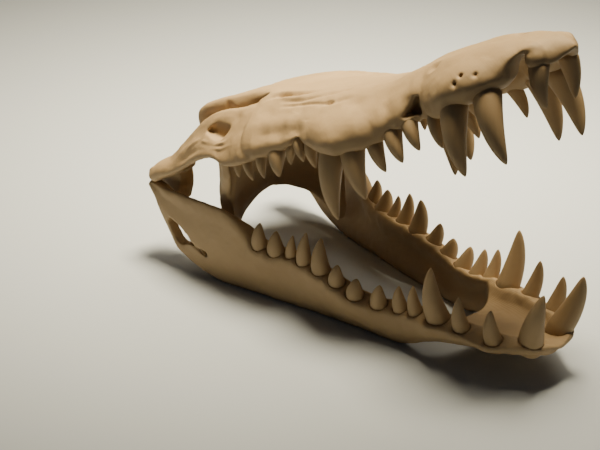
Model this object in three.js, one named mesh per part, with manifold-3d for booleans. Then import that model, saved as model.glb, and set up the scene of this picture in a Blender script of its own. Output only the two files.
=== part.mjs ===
// Printed crocodile skull with the jaws wide open, standing on the keels of its lower jaw.
// Frame: millimetres, +Z up, +X towards the snout, +Y to the skull's left side, table at Z = 0.
// The upper skull is drawn in a frame of its own: origin on the jaw joint, x along the tooth
// margin, z up; GAPE_DEG then tips it up about the joint.
import * as THREE from 'three';
import { mergeVertices } from 'three/addons/utils/BufferGeometryUtils.js';
import Module from 'manifold-3d';

const wasm = await Module();
wasm.setup();

// ---- placing ----
const GAPE_DEG = 27;
const JOINT = { x: -74.3, z: 44.3 };
const MIDDLE_X = 41;
const GAP = 0.3;
const FAR = 400;
const ROUND_SIDES = 20;

// ---- upper skull, muzzle: value at stations along x ----
const CREST_Z = [[12, 27.4], [20, 29.6], [30, 30.5], [47, 29.6], [71, 27.9], [94, 23.2], [113, 20.2],
  [137, 14.8], [158, 12], [174, 13.2], [190, 14.9], [219, 14.3], [231, 12.7], [242, 10.5], [252.6, 7],
  [257.4, 3.2], [259, 1]];
const SHOULDER_Y = [[76, 23], [94, 25], [113, 24], [137, 20], [160, 15], [180, 14], [205, 18], [228, 15],
  [242, 9], [252, 4.4], [257.4, 1.6], [259, 0.2]];
const SHOULDER_Z = [[76, 26.8], [94, 21.6], [113, 17], [137, 12.4], [160, 10.2], [180, 11.2], [205, 12],
  [228, 11], [242, 8.6], [252, 5.6], [257.4, 2.4], [259, 0.8]];
const FLANK_Y = [[76, 50.5], [94, 47.5], [108, 43.8], [114, 42], [121, 42.5], [134, 44.8], [147, 41],
  [157, 36.3], [165, 33], [175, 30], [181, 26.5], [187, 27.5], [195, 31.5], [207, 35.2], [215, 34.4],
  [228, 28.6], [237, 21.8], [243, 16.4], [248, 12.6], [253, 8], [256.6, 4], [259, 0.5]];
const FLANK_Z = [[76, 2], [108, 1], [121, -3], [134, -6.5], [157, -7], [175, -4], [181, 2], [188, -2],
  [207, -4], [228, -2], [240, 4], [246, 5.6], [253, 0.5], [259, 0]];
const MARGIN_Z = [[76, -5], [98, -4.6], [107, -3.6], [113.5, -1], [119, -6.5], [134, -12.8], [147, -14.6],
  [157, -14.2], [165, -11.6], [172.5, -9.7], [175.4, -4.2], [179, -1], [183, -0.4], [184.8, -10.4],
  [189, -11], [195, -11.4], [214, -9.4], [228, -7.8], [234.6, -5.4], [236.4, -2], [239.4, 2.2],
  [243, 4.4], [246, 2.6], [247.6, -2], [249, -5], [250.6, -6.8], [252.8, -6], [255.2, -3.4],
  [257.4, -1.4], [259, -0.6]];
const PALATE_Z = [[76, -1], [100, 1.5], [180, 3], [225, 3.4], [240, 6.2], [246, 6], [250, -1.5],
  [255.4, -4.6], [259, -0.3]];
const RIDGE_WIDTH = [[76, 8], [121, 10], [147, 10.5], [175, 8], [184, 7], [207, 12], [228, 11], [240, 7],
  [252, 5], [259, 0.3]];
const MARGIN_INSET = [[76, 1.4], [178, 1.4], [183, 0.8], [205, 1.6], [213, 4.6], [231, 4.6], [240, 1.6],
  [252, 0.8], [259, 0.05]];
const MUZZLE_STATIONS = [76, 84, 94, 104, 111, 114.5, 119, 127, 134, 141, 148, 156, 165, 172.5, 175.4, 179,
  183, 184.8, 189, 195, 206, 217, 228, 234, 238, 241, 244, 247, 249.4, 251.4, 254, 256.6, 258.2, 259];

// ---- upper skull, back part: value at stations along x ----
const TABLE_Y = [[12, 24.5], [18, 26.5], [27, 27], [45, 25.8], [66, 24], [84, 23]];
const TABLE_Z = [[12, 27.5], [18, 29.3], [27, 30.3], [40, 30.2], [55, 28.9], [66, 27.9], [84, 25]];
const GROOVE_Z = [[12, 7], [20, 10.5], [31, 15.5], [43, 19], [55, 19], [70, 20], [84, 22]];
const CHEEK_TOP_Y = [[12, 46.5], [24, 43.5], [34, 40.6], [46, 38.2], [58, 36], [70, 33], [84, 29]];
const CHEEK_TOP_Z = [[12, 9.4], [20, 12.8], [31, 17.8], [43, 22.4], [55, 23.8], [70, 24.6], [84, 23.5]];
const CHEEK_LOW_Y = [[12, 52.5], [30, 51.5], [52, 52], [66, 51.3], [84, 50]];
const CHEEK_LOW_Z = [[12, 1.1], [18, 1.2], [30, 2.6], [43, 3.9], [52, 3.4], [57, 1.6], [61, -2.2], [66, -4.2],
  [72, -4.7], [84, -4.9]];
const CHAMBER_Z = [[12, 3], [20, 6], [31, 8.6], [58, 9], [65, -2.5], [84, -1]];
const BRAINCASE_Y = [[12, 11], [30, 15], [58, 13], [65, 15], [84, 15]];
const BRAINCASE_LOW_Z = [[12, -3], [30, -9], [50, -9], [65, -4], [84, -1]];
const CRANIUM_STATIONS = [12, 18, 24, 31, 38, 45, 52, 58, 62, 66, 72, 78, 84];
const CHEEK_THICKNESS = 5.5;
const CHEEK_RIM = 0.4;
const CHEEK_SWELL = 1.35;
const GROOVE_EDGE = 2.5;
const BRAINCASE_FLARE = 4;
const SWEEP_LENGTH = 13;
const SWEEP_END_X = 45;
const SWEEP_REACH_Y = 50;

// ---- quadrates, condyle, pterygoid (same frame) ----
const QUADRATE_TOP_Z = [[-2.6, 5.2], [-1, 7.6], [2, 8.8], [8, 9.4], [14, 10.4], [20, 11.6]];
const QUADRATE_LOW_Z = [[-2.6, 2.2], [-1, 0.8], [2, 0.2], [8, 0.8], [14, 0.6], [20, 1]];
const QUADRATE_OUT_Y = [[-2.6, 51], [-1, 53.4], [8, 53.4], [20, 52]];
const QUADRATE_IN_Y = [[-2.6, 40], [-1, 37.5], [8, 36], [20, 36]];
const QUADRATE_STATIONS = [-2.6, -1.6, 0, 2, 8, 14, 20];
const QUADRATE_WALL = [[0, 6], [14, 10.5], [23, 11.5], [20, 5], [15, 1], [13.6, -3], [11.5, -7], [8.8, -10],
  [4.5, -13.6], [2, -13], [0, -2]];
const QUADRATE_WALL_Y = [35, 41];
const CONDYLE = { x: 1.4, z: 3.6, r: 4.2 };
const CONDYLE_Y = [37.5, 52];
const OCCIPITAL_CONDYLE = { x: 11.5, z: 5, r: 5 };
// Pterygoid wall: value at stations across the skull, y from the middle outwards.
const WING_STATIONS = [0, 9, 18, 26, 32, 36.5, 39.5, 40.6, 46.5];
const WING_LOW_Z = [[0, -21.5], [9, -23.6], [18, -27.6], [26, -33], [32, -40], [36.5, -49],
  [39.5, -53], [40.6, -21], [46.5, -11]];
const WING_LOW_X = [[0, 27], [18, 27], [32, 27.4], [39.5, 30], [40.6, 42], [46.5, 53]];
const WING_LOW_DEPTH = [[0, 4], [32, 4.5], [39.5, 8.5], [46.5, 6]];
const WING_BACK_X = [[0, 24], [18, 25], [26, 32], [32, 43], [36.5, 49], [39.5, 53], [40.6, 53],
  [46.5, 58]];
const WING_FRONT_X = [[0, 64], [26, 62], [41, 58], [46.5, 62]];
const WING_TOP_Z = 10;

// ---- corners of the cross-sections: [share across, share down] from one named line to the next ----
const ROOF_CORNER = 0.55;
const FACE_CORNERS = [[0.45, 0.3], [0.82, 0.64]];
const FLANK_SWELL = 0.2;
const RIDGE_CORNERS = [[0.5, 0], [0.92, 0.2]];
const PALATE_CORNERS = [[0.86, 0.85], [0.5, 1]];
const LEAST_VAULT = 0.3;
const TABLE_CORNER = 0.6;
const TABLE_SIDE = [0.5, 0.4];
const CHEEK_CORNERS = [[0.4, 0.38], [0.75, 0.7]];
const BRAINCASE_CORNERS = [[1, 0.4], [0.8, 1]];
const QUADRATE_BEVEL = { low: [2, 1], inner: [3, 1.5], outer: 5 };
const WING_EDGE = { back: 2, front: 1.5, foot: 0.4 };
const WING_FRONT_CORNER = [0.35, 0.5];
const WING_BACK_CORNER = [0.3, 0.45];

// ---- openings of the upper skull (same frame) ----
const ORBIT = { x0: 58, x1: 77.5, y0: 27, y1: 36, zLow: 4 };
const CHEEK_HOLE = [[50, 13.5], [52.5, 17.5], [58, 20.5], [65.5, 19.2], [64.5, 15], [66.4, 11.6], [61, 8.6],
  [54.5, 9.4]];
const CHEEK_HOLE_IN_Y = 42.5;
const NOSTRIL = { x: 233, z: 15, rx: 8, ry: 5.2, rz: 7 };
const PALATE_WINDOW = [[86, 12], [86, 27], [98, 29], [112, 25], [120, 19], [112, 12], [98, 10]];
const PALATE_WINDOW_TOP = 11;
const CHOANA = { x: 57, rx: 7, ry: 5, rz: 7, z: -24 };
const FORAMEN_MAGNUM = { x: 12, z: 13.5, r: 4.5, rx: 7 };

// ---- lower jaw: value at stations along x (frame of the whole) ----
const KEEL_Z = [[-79, 41], [-74, 35], [-70, 28.4], [-64, 19.5], [-58, 12.6], [-50, 7.2], [-43, 4.2],
  [-34, 1.6], [-24, 0], [82, 0], [90, 2], [99, 6], [107, 8.6], [125, 11.2], [140, 12.2], [150, 13.4],
  [156, 14.8], [159.4, 16.4], [161, 18]];
const KEEL_Y = [[-79, 50.5], [-60, 50.6], [-43, 48.6], [-25, 45.2], [0, 40.2], [32, 33.6], [51, 30.6],
  [65, 28.3], [80, 26.6], [99, 24.6], [107, 23.2], [125, 18.6], [138, 14.4], [146, 11.4], [152, 8.8],
  [157, 5.6], [160, 2.6], [161, 0.6]];
const RIM_Y = [[-79, 51.5], [-64, 52.2], [-43, 51.2], [-15, 48.4], [-2, 45.4], [8, 43.4], [17, 41],
  [26, 40.2], [37, 40], [49, 39.8], [60, 38.6], [73, 35], [85, 31.9], [95, 31.2], [107, 32.2], [114, 31.2],
  [122, 29.8], [138, 26.6], [145, 23], [150, 19.6], [154, 17], [157.6, 13.4], [159.8, 8.6], [161, 2.4]];
const RIM_Z = [[-79, 43.6], [-72, 43.6], [-64, 43.4], [-50, 43.4], [-33, 43.8], [-24, 43.6], [-16, 41.2],
  [-11, 38], [-7, 33.5], [-3, 28.4], [8, 26.4], [17, 27], [37, 25.2], [49, 22.6], [60, 19.4],
  [73, 17.6], [85, 18.5], [95, 20.2], [107, 20.8], [122, 21.6], [138, 20], [152, 21.8], [158, 21.2],
  [161, 20]];
const INNER_Z = [[-79, 43.2], [-72, 43], [-64, 42.2], [-50, 41.4], [-33, 41.4], [-20, 41], [-10, 37.4],
  [-3, 31.5], [4, 29], [17, 28.4], [37, 27.2], [60, 22], [73, 20.6], [85, 21.4], [107, 25],
  [122, 25], [138, 24.4], [152, 23.4], [158, 21.8], [161, 20.2]];
const RIM_WIDTH = [[-79, 7], [-60, 5.6], [-30, 5], [-14, 6.6], [-3, 9.4], [8, 10.6], [49, 10.6], [99, 9.6],
  [107, 12], [122, 10], [138, 9.6], [150, 8.4], [157, 5.6], [161, 1.6]];
const RAMUS_STATIONS = [-79, -75.5, -72, -67, -61, -54, -46, -37, -28, -20, -13, -8, -4, 2, 8, 17, 27, 38,
  49, 60, 73, 85, 99.85];
const CHIN_STATIONS = [100.15, 107, 114, 122, 130, 138, 144, 149, 153, 156, 158.6, 160.2, 161];
const SHELF_Z = [[97, 15.4], [115, 16.4], [135, 18], [150, 19.6], [158, 20.2], [161, 19.8]];
const KEEL_WIDTH = 2.4;
const BELLY_RISE = 0.8;
const JAW_BELLY = 1.6;
const RIM_EDGE = 1.4;
const OUTER_RISE = { belly: 0.1, middle: [0.55, 0.42], brow: 0.76, rim: 0.94 };
const INNER_RISE = { foot: 0.22, middle: 0.6, rim: 0.93 };
const RIM_MIDDLE = 0.55;
const SHELF_CORNERS = [[0.6, 0.1], [0.9, 0.45]];
const LEAST_HALF = 0.1;
const CHIN_EDGE = 0.2;
const CHIN_KEEL = 0.6;
const CHIN_BELLY = 0.3;
const JAW_WINDOW = [[-63, 28], [-57, 27.4], [-51.5, 25.4], [-46.4, 22], [-42, 18.4], [-33.5, 14.2],
  [-42.6, 16], [-50, 13.8], [-54.6, 15.4], [-58, 20.4]];
const JAW_WINDOW_IN_Y = 30;

// ---- teeth: base centre, tip, root radius (right side; mirrored to the left) ----
const PREMAXILLA_TEETH = [
  { base: [245.6, 10.5, -1.2], tip: [241.4, 10, -21.9], r: 5 },
  { base: [224, 23.8, -9.1], tip: [224.9, 26.3, -39.7], r: 6.9 },
  { base: [207.9, 28.8, -9.4], tip: [205.1, 32.6, -39.9], r: 6.8 },
  { base: [192.8, 27.4, -11], tip: [193.5, 29.2, -25.4], r: 3.9 }];
const MAXILLA_TEETH = [
  { base: [174.2, 25.6, -9.9], tip: [177.2, 27.6, -23.7], r: 4.4 },
  { base: [164.6, 28.4, -11.5], tip: [167.6, 31, -26.8], r: 5 },
  { base: [153.5, 31, -14], tip: [156.4, 32.5, -28.8], r: 4.5 },
  { base: [142, 35.2, -14.4], tip: [142.1, 36.9, -38.4], r: 6.5 },
  { base: [131.2, 38, -12.6], tip: [123.6, 41.5, -44.2], r: 6.7 },
  { base: [117.2, 38, -6.4], tip: [115.8, 38.2, -17.7], r: 3.4 },
  { base: [110.3, 38, -2], tip: [111.5, 40.6, -13.1], r: 3.7 },
  { base: [105.8, 39.6, -3.6], tip: [103.9, 42.6, -12.6], r: 3 },
  { base: [96.8, 42.4, -4.5], tip: [95.8, 45.4, -16.7], r: 4.7 },
  { base: [86.8, 45.2, -4.6], tip: [86.4, 47, -15.3], r: 3.1 }];
const CHEEK_TEETH = [
  { base: [77, 46.8, -4.6], tip: [78.6, 48.2, -14.7], r: 2.8 },
  { base: [70.6, 47.8, -4], tip: [69.8, 49, -11.2], r: 2.4 }];
const RAMUS_TEETH = [
  { base: [-1.9, 40.8, 28], tip: [0, 42.1, 41.4], r: 4.5 },
  { base: [8.1, 38.3, 27], tip: [10, 40, 39.4], r: 5 },
  { base: [17.4, 36.6, 27.6], tip: [20, 37.8, 39.7], r: 3.2 },
  { base: [26.2, 35.6, 26.8], tip: [28.8, 37, 43.9], r: 4.4 },
  { base: [37.3, 34.7, 26.2], tip: [38.1, 35.6, 43.6], r: 5.1 },
  { base: [48.7, 35, 23.6], tip: [51.2, 36.9, 34], r: 4.4 },
  { base: [60.1, 33.5, 20.4], tip: [62.5, 34.9, 29.9], r: 4.7 },
  { base: [73.1, 30, 19], tip: [76, 32.7, 30.6], r: 4.6 },
  { base: [85.2, 27.2, 20], tip: [86.9, 30.9, 33.5], r: 4.1 },
  { base: [94.6, 26.7, 21.6], tip: [95.7, 30.4, 36.6], r: 3.9 }];
const CHIN_TEETH = [
  { base: [107.4, 25.2, 23], tip: [107.3, 31.6, 50.4], r: 6 },
  { base: [121.7, 24.9, 23.2], tip: [123.2, 29.1, 40.2], r: 4.3 },
  { base: [138.3, 21.6, 22], tip: [139.8, 26.1, 38.7], r: 4.4 },
  { base: [151.6, 10.6, 22.4], tip: [160, 14.3, 49.7], r: 6.2 }];
const TOOTH_RINGS = [[0, 1.0], [0.42, 0.78], [0.86, 0.34]];
const TOOTH_SIDES = 6;
const TOOTH_ROOT = 3.2;
const TOOTH_BOW = 0.05;

// ---- cuts between the parts of the upper skull and of the lower jaw ----
const CUT_SNOUT_X = 181.6;
const CUT_FACE_X = 80;
const CUT_CHEEK_Y = 31;
const CUT_PTERYGOID_Z = -10;
const CUT_WING_X = 22;
const WING_REACH = 47;

// Smooth value between stations: cubic with slopes that never overshoot.
function along(stations) {
  const n = stations.length;
  const slope = [];
  for (let i = 0; i < n - 1; i += 1) {
    slope.push((stations[i + 1][1] - stations[i][1]) / (stations[i + 1][0] - stations[i][0]));
  }
  const tangent = stations.map((_, i) => {
    if (i === 0) return slope[0];
    if (i === n - 1) return slope[n - 2];
    const a = slope[i - 1];
    const b = slope[i];
    return a * b <= 0 ? 0 : (2 * a * b) / (a + b);
  });
  return (x) => {
    if (x <= stations[0][0]) return stations[0][1];
    if (x >= stations[n - 1][0]) return stations[n - 1][1];
    let i = 0;
    while (x > stations[i + 1][0]) i += 1;
    const h = stations[i + 1][0] - stations[i][0];
    const t = (x - stations[i][0]) / h;
    const t2 = t * t;
    const t3 = t2 * t;
    return (2 * t3 - 3 * t2 + 1) * stations[i][1] + (t3 - 2 * t2 + t) * h * tangent[i]
      + (3 * t2 - 2 * t3) * stations[i + 1][1] + (t3 - t2) * h * tangent[i + 1];
  };
}

function mix(from, to, share) {
  return from + (to - from) * share;
}

// A manifold solid from corners and triangles, turned so that its faces look outwards.
function solid(points, triangles) {
  let volume = 0;
  for (const [a, b, c] of triangles) {
    const [p, q, r] = [points[a], points[b], points[c]];
    volume += p[0] * (q[1] * r[2] - q[2] * r[1]) - p[1] * (q[0] * r[2] - q[2] * r[0])
      + p[2] * (q[0] * r[1] - q[1] * r[0]);
  }
  const faces = volume > 0 ? triangles : triangles.map(([a, b, c]) => [a, c, b]);
  return new wasm.Manifold(new wasm.Mesh({
    numProp: 3,
    vertProperties: new Float32Array(points.flat()),
    triVerts: new Uint32Array(faces.flat()),
  }));
}

// Skin over a row of closed loops, closed by a flat-filled cap at each end.
function skin(loops) {
  const n = loops[0].length;
  const triangles = [];
  for (let s = 0; s < loops.length - 1; s += 1) {
    for (let i = 0; i < n; i += 1) {
      const j = (i + 1) % n;
      const a = s * n + i;
      const b = s * n + j;
      triangles.push([a, b, a + n], [b, b + n, a + n]);
    }
  }
  const cap = (loop, first, sameWay) => {
    const outline = loop.map(([, y, z]) => new THREE.Vector2(y, z));
    const clockwise = THREE.ShapeUtils.isClockWise(outline);
    for (const [a, b, c] of THREE.ShapeUtils.triangulateShape([...outline], [])) {
      const same = THREE.ShapeUtils.isClockWise([outline[a], outline[b], outline[c]]) === clockwise;
      const turned = same === sameWay ? [a, b, c] : [a, c, b];
      triangles.push(turned.map((corner) => first + corner));
    }
  };
  cap(loops[0], 0, false);
  cap(loops[loops.length - 1], (loops.length - 1) * n, true);
  return solid(loops.flat(), triangles);
}

// Whole loop from its right half (top middle to bottom middle, middle points included).
function bothHalves(half) {
  const left = half.slice(1, -1).reverse().map(([x, y, z]) => [x, -y, z]);
  return [...half.map(([x, y, z]) => [x, y, z]), ...left];
}

// Any three.js geometry as a manifold solid.
function fromGeometry(geometry) {
  geometry.deleteAttribute('normal');
  geometry.deleteAttribute('uv');
  const merged = mergeVertices(geometry);
  const p = merged.getAttribute('position');
  const points = [];
  for (let i = 0; i < p.count; i += 1) points.push([p.getX(i), p.getY(i), p.getZ(i)]);
  const triangles = [];
  for (let i = 0; i < merged.index.count; i += 3) {
    triangles.push([merged.index.getX(i), merged.index.getX(i + 1), merged.index.getX(i + 2)]);
  }
  return solid(points, triangles);
}

function box(x0, x1, y0, y1, z0, z1) {
  const geometry = new THREE.BoxGeometry(x1 - x0, y1 - y0, z1 - z0);
  geometry.translate((x0 + x1) / 2, (y0 + y1) / 2, (z0 + z1) / 2);
  return fromGeometry(geometry);
}

function ball(x, y, z, rx, ry, rz) {
  const geometry = new THREE.SphereGeometry(1, 14, 10);
  geometry.scale(rx, ry, rz);
  geometry.translate(x, y, z);
  return fromGeometry(geometry);
}

function extruded(outline, depth) {
  const shape = new THREE.Shape(outline.map(([u, v]) => new THREE.Vector2(u, v)));
  return new THREE.ExtrudeGeometry(shape, { depth, bevelEnabled: false });
}

// Side-view outline (x, z) pushed through from y0 to y1.
function sideways(outline, y0, y1) {
  const geometry = extruded(outline, y1 - y0);
  geometry.rotateX(Math.PI / 2);
  geometry.translate(0, y1, 0);
  return fromGeometry(geometry);
}

// Plan outline (x, y) pushed up from z0 to z1.
function upwards(outline, z0, z1) {
  const geometry = extruded(outline, z1 - z0);
  geometry.translate(0, 0, z0);
  return fromGeometry(geometry);
}

function mirrored(body) {
  return body.mirror([0, 1, 0]);
}

function pair(body) {
  return body.add(mirrored(body));
}

// A blunt curved cone, its root sunk in the jaw; the bow leans the middle away from the mouth.
function tooth({ base, tip, r }, side) {
  const from = new THREE.Vector3(base[0], side * base[1], base[2]);
  const axis = new THREE.Vector3(tip[0], side * tip[1], tip[2]).sub(from);
  const length = axis.length();
  const across = new THREE.Vector3().crossVectors(axis, new THREE.Vector3(1, 0, 0)).normalize();
  const ahead = new THREE.Vector3().crossVectors(across, axis).normalize();
  const outward = new THREE.Vector3(1, side, 0).normalize();
  const rings = [[-TOOTH_ROOT / length, 1], ...TOOTH_RINGS];
  const points = [];
  for (const [t, k] of rings) {
    const bow = 4 * Math.max(t, 0) * (1 - t) * TOOTH_BOW * length;
    const centre = from.clone().addScaledVector(axis, t).addScaledVector(outward, bow);
    for (let i = 0; i < TOOTH_SIDES; i += 1) {
      const a = (2 * Math.PI * (i + 0.5)) / TOOTH_SIDES;
      const p = centre.clone().addScaledVector(ahead, r * k * Math.cos(a));
      points.push(p.addScaledVector(across, r * k * Math.sin(a)).toArray());
    }
  }
  const apex = points.length;
  points.push(from.clone().add(axis).toArray(), from.clone().addScaledVector(axis, rings[0][0]).toArray());
  const triangles = [];
  for (let i = 0; i < TOOTH_SIDES; i += 1) {
    const j = (i + 1) % TOOTH_SIDES;
    for (let s = 0; s < rings.length - 1; s += 1) {
      const a = s * TOOTH_SIDES + i;
      const b = s * TOOTH_SIDES + j;
      triangles.push([a, b, a + TOOTH_SIDES], [b, b + TOOTH_SIDES, a + TOOTH_SIDES]);
    }
    triangles.push([apex - TOOTH_SIDES + i, apex - TOOTH_SIDES + j, apex], [j, i, apex + 1]);
  }
  return solid(points, triangles);
}

function withTeeth(body, teeth, sides) {
  return teeth.reduce((whole, one) => sides.reduce((w, side) => w.add(tooth(one, side)), whole), body);
}

// Muzzle: crest, shoulder, flank, margin, tooth ridge and vaulted palate at each station.
function muzzle() {
  const at = {
    crest: along(CREST_Z), shoulderY: along(SHOULDER_Y), shoulderZ: along(SHOULDER_Z),
    flankY: along(FLANK_Y), flankZ: along(FLANK_Z), marginZ: along(MARGIN_Z), palateZ: along(PALATE_Z),
    ridge: along(RIDGE_WIDTH), inset: along(MARGIN_INSET),
  };
  return skin(MUZZLE_STATIONS.map((x) => {
    const crest = at.crest(x);
    const sy = at.shoulderY(x);
    const sz = at.shoulderZ(x);
    const fy = at.flankY(x);
    const fz = at.flankZ(x);
    const mz = at.marginZ(x);
    const ridge = at.ridge(x);
    const my = fy - at.inset(x);
    const inner = my - ridge;
    const vault = Math.max(at.palateZ(x), mz + LEAST_VAULT);
    return bothHalves([[x, 0, crest], [x, sy * ROOF_CORNER, mix(crest, sz, ROOF_CORNER)], [x, sy, sz],
      ...FACE_CORNERS.map(([across, down]) => [x, mix(sy, fy, across), mix(sz, fz, down)]),
      [x, fy, fz], [x, fy + FLANK_SWELL, (fz + mz) / 2], [x, my, mz],
      ...RIDGE_CORNERS.map(([across, up]) => [x, my - ridge * across, mix(mz, vault, up)]),
      ...PALATE_CORNERS.map(([across, up]) => [x, inner * across, mix(mz, vault, up)]), [x, 0, vault]]);
  }));
}

// Back of the skull: table, ear groove, cheek plate and the chamber under it, swept back at the sides.
function cranium() {
  const at = {
    crest: along(CREST_Z), tableY: along(TABLE_Y), tableZ: along(TABLE_Z), grooveZ: along(GROOVE_Z),
    topY: along(CHEEK_TOP_Y), topZ: along(CHEEK_TOP_Z), lowY: along(CHEEK_LOW_Y), lowZ: along(CHEEK_LOW_Z),
    chamber: along(CHAMBER_Z), caseY: along(BRAINCASE_Y), caseZ: along(BRAINCASE_LOW_Z),
  };
  return skin(CRANIUM_STATIONS.map((x) => {
    const back = SWEEP_LENGTH * Math.max(0, (SWEEP_END_X - x) / (SWEEP_END_X - CRANIUM_STATIONS[0]));
    const place = (y, z) => [x + back * (1 - Math.min(1, y / SWEEP_REACH_Y)), y, z];
    const ty = at.tableY(x);
    const tz = at.tableZ(x);
    const gz = at.grooveZ(x);
    const py = at.topY(x);
    const pz = at.topZ(x);
    const ly = at.lowY(x);
    const lz = at.lowZ(x);
    const cz = at.chamber(x);
    const by = at.caseY(x);
    const bz = at.caseZ(x);
    return bothHalves([place(0, at.crest(x)), place(ty * TABLE_CORNER, (at.crest(x) + tz) / 2), place(ty, tz),
      place(ty + GROOVE_EDGE * TABLE_SIDE[0], mix(tz, gz, TABLE_SIDE[1])), place(ty + GROOVE_EDGE, gz),
      place(py - GROOVE_EDGE, gz), place(py, pz),
      ...CHEEK_CORNERS.map(([across, down]) => place(mix(py, ly, across) + CHEEK_SWELL, mix(pz, lz, down))),
      place(ly, lz), place(ly - CHEEK_THICKNESS, lz + CHEEK_RIM), place(py - CHEEK_THICKNESS / 2, cz),
      place(by + BRAINCASE_FLARE, cz),
      ...BRAINCASE_CORNERS.map(([across, down]) => place(by * across, mix(cz, bz, down))), place(0, bz)]);
  }));
}

// Quadrate of the right side, ending in the rounded condyle on the jaw joint, and its inner wall.
function quadrate() {
  const top = along(QUADRATE_TOP_Z);
  const low = along(QUADRATE_LOW_Z);
  const out = along(QUADRATE_OUT_Y);
  const inn = along(QUADRATE_IN_Y);
  const bar = skin(QUADRATE_STATIONS.map((x) => {
    const [t, l, o, i] = [top(x), low(x), out(x), inn(x)];
    const { low: [across, up], inner: [lip, drop], outer } = QUADRATE_BEVEL;
    return [[x, o, l + up], [x, o - across, l], [x, i + across, l], [x, i, l + up], [x, i, t - drop],
      [x, i + lip, t], [x, o - outer, t], [x, o, (t + l) / 2]];
  }));
  return bar.add(sideways(QUADRATE_WALL, QUADRATE_WALL_Y[0], QUADRATE_WALL_Y[1]));
}

// Pterygoid: a wall across the skull whose two flanges reach down between the jaws.
function pterygoid() {
  const at = {
    lowZ: along(WING_LOW_Z), lowX: along(WING_LOW_X), depth: along(WING_LOW_DEPTH),
    backX: along(WING_BACK_X), frontX: along(WING_FRONT_X),
  };
  const ys = [...WING_STATIONS.slice(1).reverse().map((y) => -y), ...WING_STATIONS];
  return skin(ys.map((y) => {
    const u = Math.abs(y);
    const [z, x, d, b, f] = [at.lowZ(u), at.lowX(u), at.depth(u), at.backX(u), at.frontX(u)];
    const [ahead, frontRise] = WING_FRONT_CORNER;
    const [behind, backRise] = WING_BACK_CORNER;
    return [[x, z + WING_EDGE.back], [x + d * WING_EDGE.foot, z], [x + d, z + WING_EDGE.front],
      [mix(x + d, f, ahead), z * frontRise], [f, WING_TOP_Z], [b, WING_TOP_Z],
      [mix(x, b, behind), z * backRise]].map(([px, pz]) => [y, pz, px]);
  })).transform([0, 1, 0, 0, 0, 0, 1, 0, 1, 0, 0, 0, 0, 0, 0, 1]);
}

function upperSkull() {
  const orbit = box(ORBIT.x0, ORBIT.x1, ORBIT.y0, ORBIT.y1, ORBIT.zLow, FAR);
  const cheekHole = sideways(CHEEK_HOLE, CHEEK_HOLE_IN_Y, FAR);
  const palateWindow = upwards(PALATE_WINDOW, -FAR, PALATE_WINDOW_TOP);
  return cranium().add(muzzle()).add(pair(quadrate()))
    .add(ball(OCCIPITAL_CONDYLE.x + SWEEP_LENGTH, 0, OCCIPITAL_CONDYLE.z, OCCIPITAL_CONDYLE.r,
      OCCIPITAL_CONDYLE.r, OCCIPITAL_CONDYLE.r))
    .add(pterygoid())
    .subtract(pair(orbit))
    .subtract(pair(cheekHole))
    .subtract(pair(palateWindow))
    .subtract(ball(NOSTRIL.x, 0, NOSTRIL.z, NOSTRIL.rx, NOSTRIL.ry, NOSTRIL.rz))
    .subtract(ball(CHOANA.x, 0, CHOANA.z, CHOANA.rx, CHOANA.ry, CHOANA.rz))
    .subtract(ball(FORAMEN_MAGNUM.x + SWEEP_LENGTH, 0, FORAMEN_MAGNUM.z, FORAMEN_MAGNUM.rx,
      FORAMEN_MAGNUM.r, FORAMEN_MAGNUM.r));
}

// One side of the lower jaw, from the joint to the chin: keel, outer face, tooth rim, inner face.
function ramus() {
  const at = {
    keelZ: along(KEEL_Z), keelY: along(KEEL_Y), rimY: along(RIM_Y), rimZ: along(RIM_Z),
    innerZ: along(INNER_Z), width: along(RIM_WIDTH),
  };
  return skin(RAMUS_STATIONS.map((x) => {
    const [kz, ky, ry, rz] = [at.keelZ(x), at.keelY(x), at.rimY(x), at.rimZ(x)];
    const [iz, w] = [at.innerZ(x), at.width(x)];
    const [shareOut, shareUp] = OUTER_RISE.middle;
    return [[x, ky, kz], [x, ky + JAW_BELLY, mix(kz, rz, OUTER_RISE.belly)],
      [x, mix(ky, ry, shareOut) + JAW_BELLY, mix(kz, rz, shareUp)], [x, ry, mix(kz, rz, OUTER_RISE.brow)],
      [x, ry, mix(kz, rz, OUTER_RISE.rim)], [x, ry - RIM_EDGE, rz], [x, ry - w * RIM_MIDDLE, (rz + iz) / 2],
      [x, ry - w + RIM_EDGE, iz], [x, ry - w, mix(kz, iz, INNER_RISE.rim)],
      [x, ry - w + RIM_EDGE, mix(kz, iz, INNER_RISE.middle)],
      [x, ky - KEEL_WIDTH - RIM_EDGE, mix(kz, iz, INNER_RISE.foot)], [x, ky - KEEL_WIDTH, kz]];
  }));
}

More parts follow.
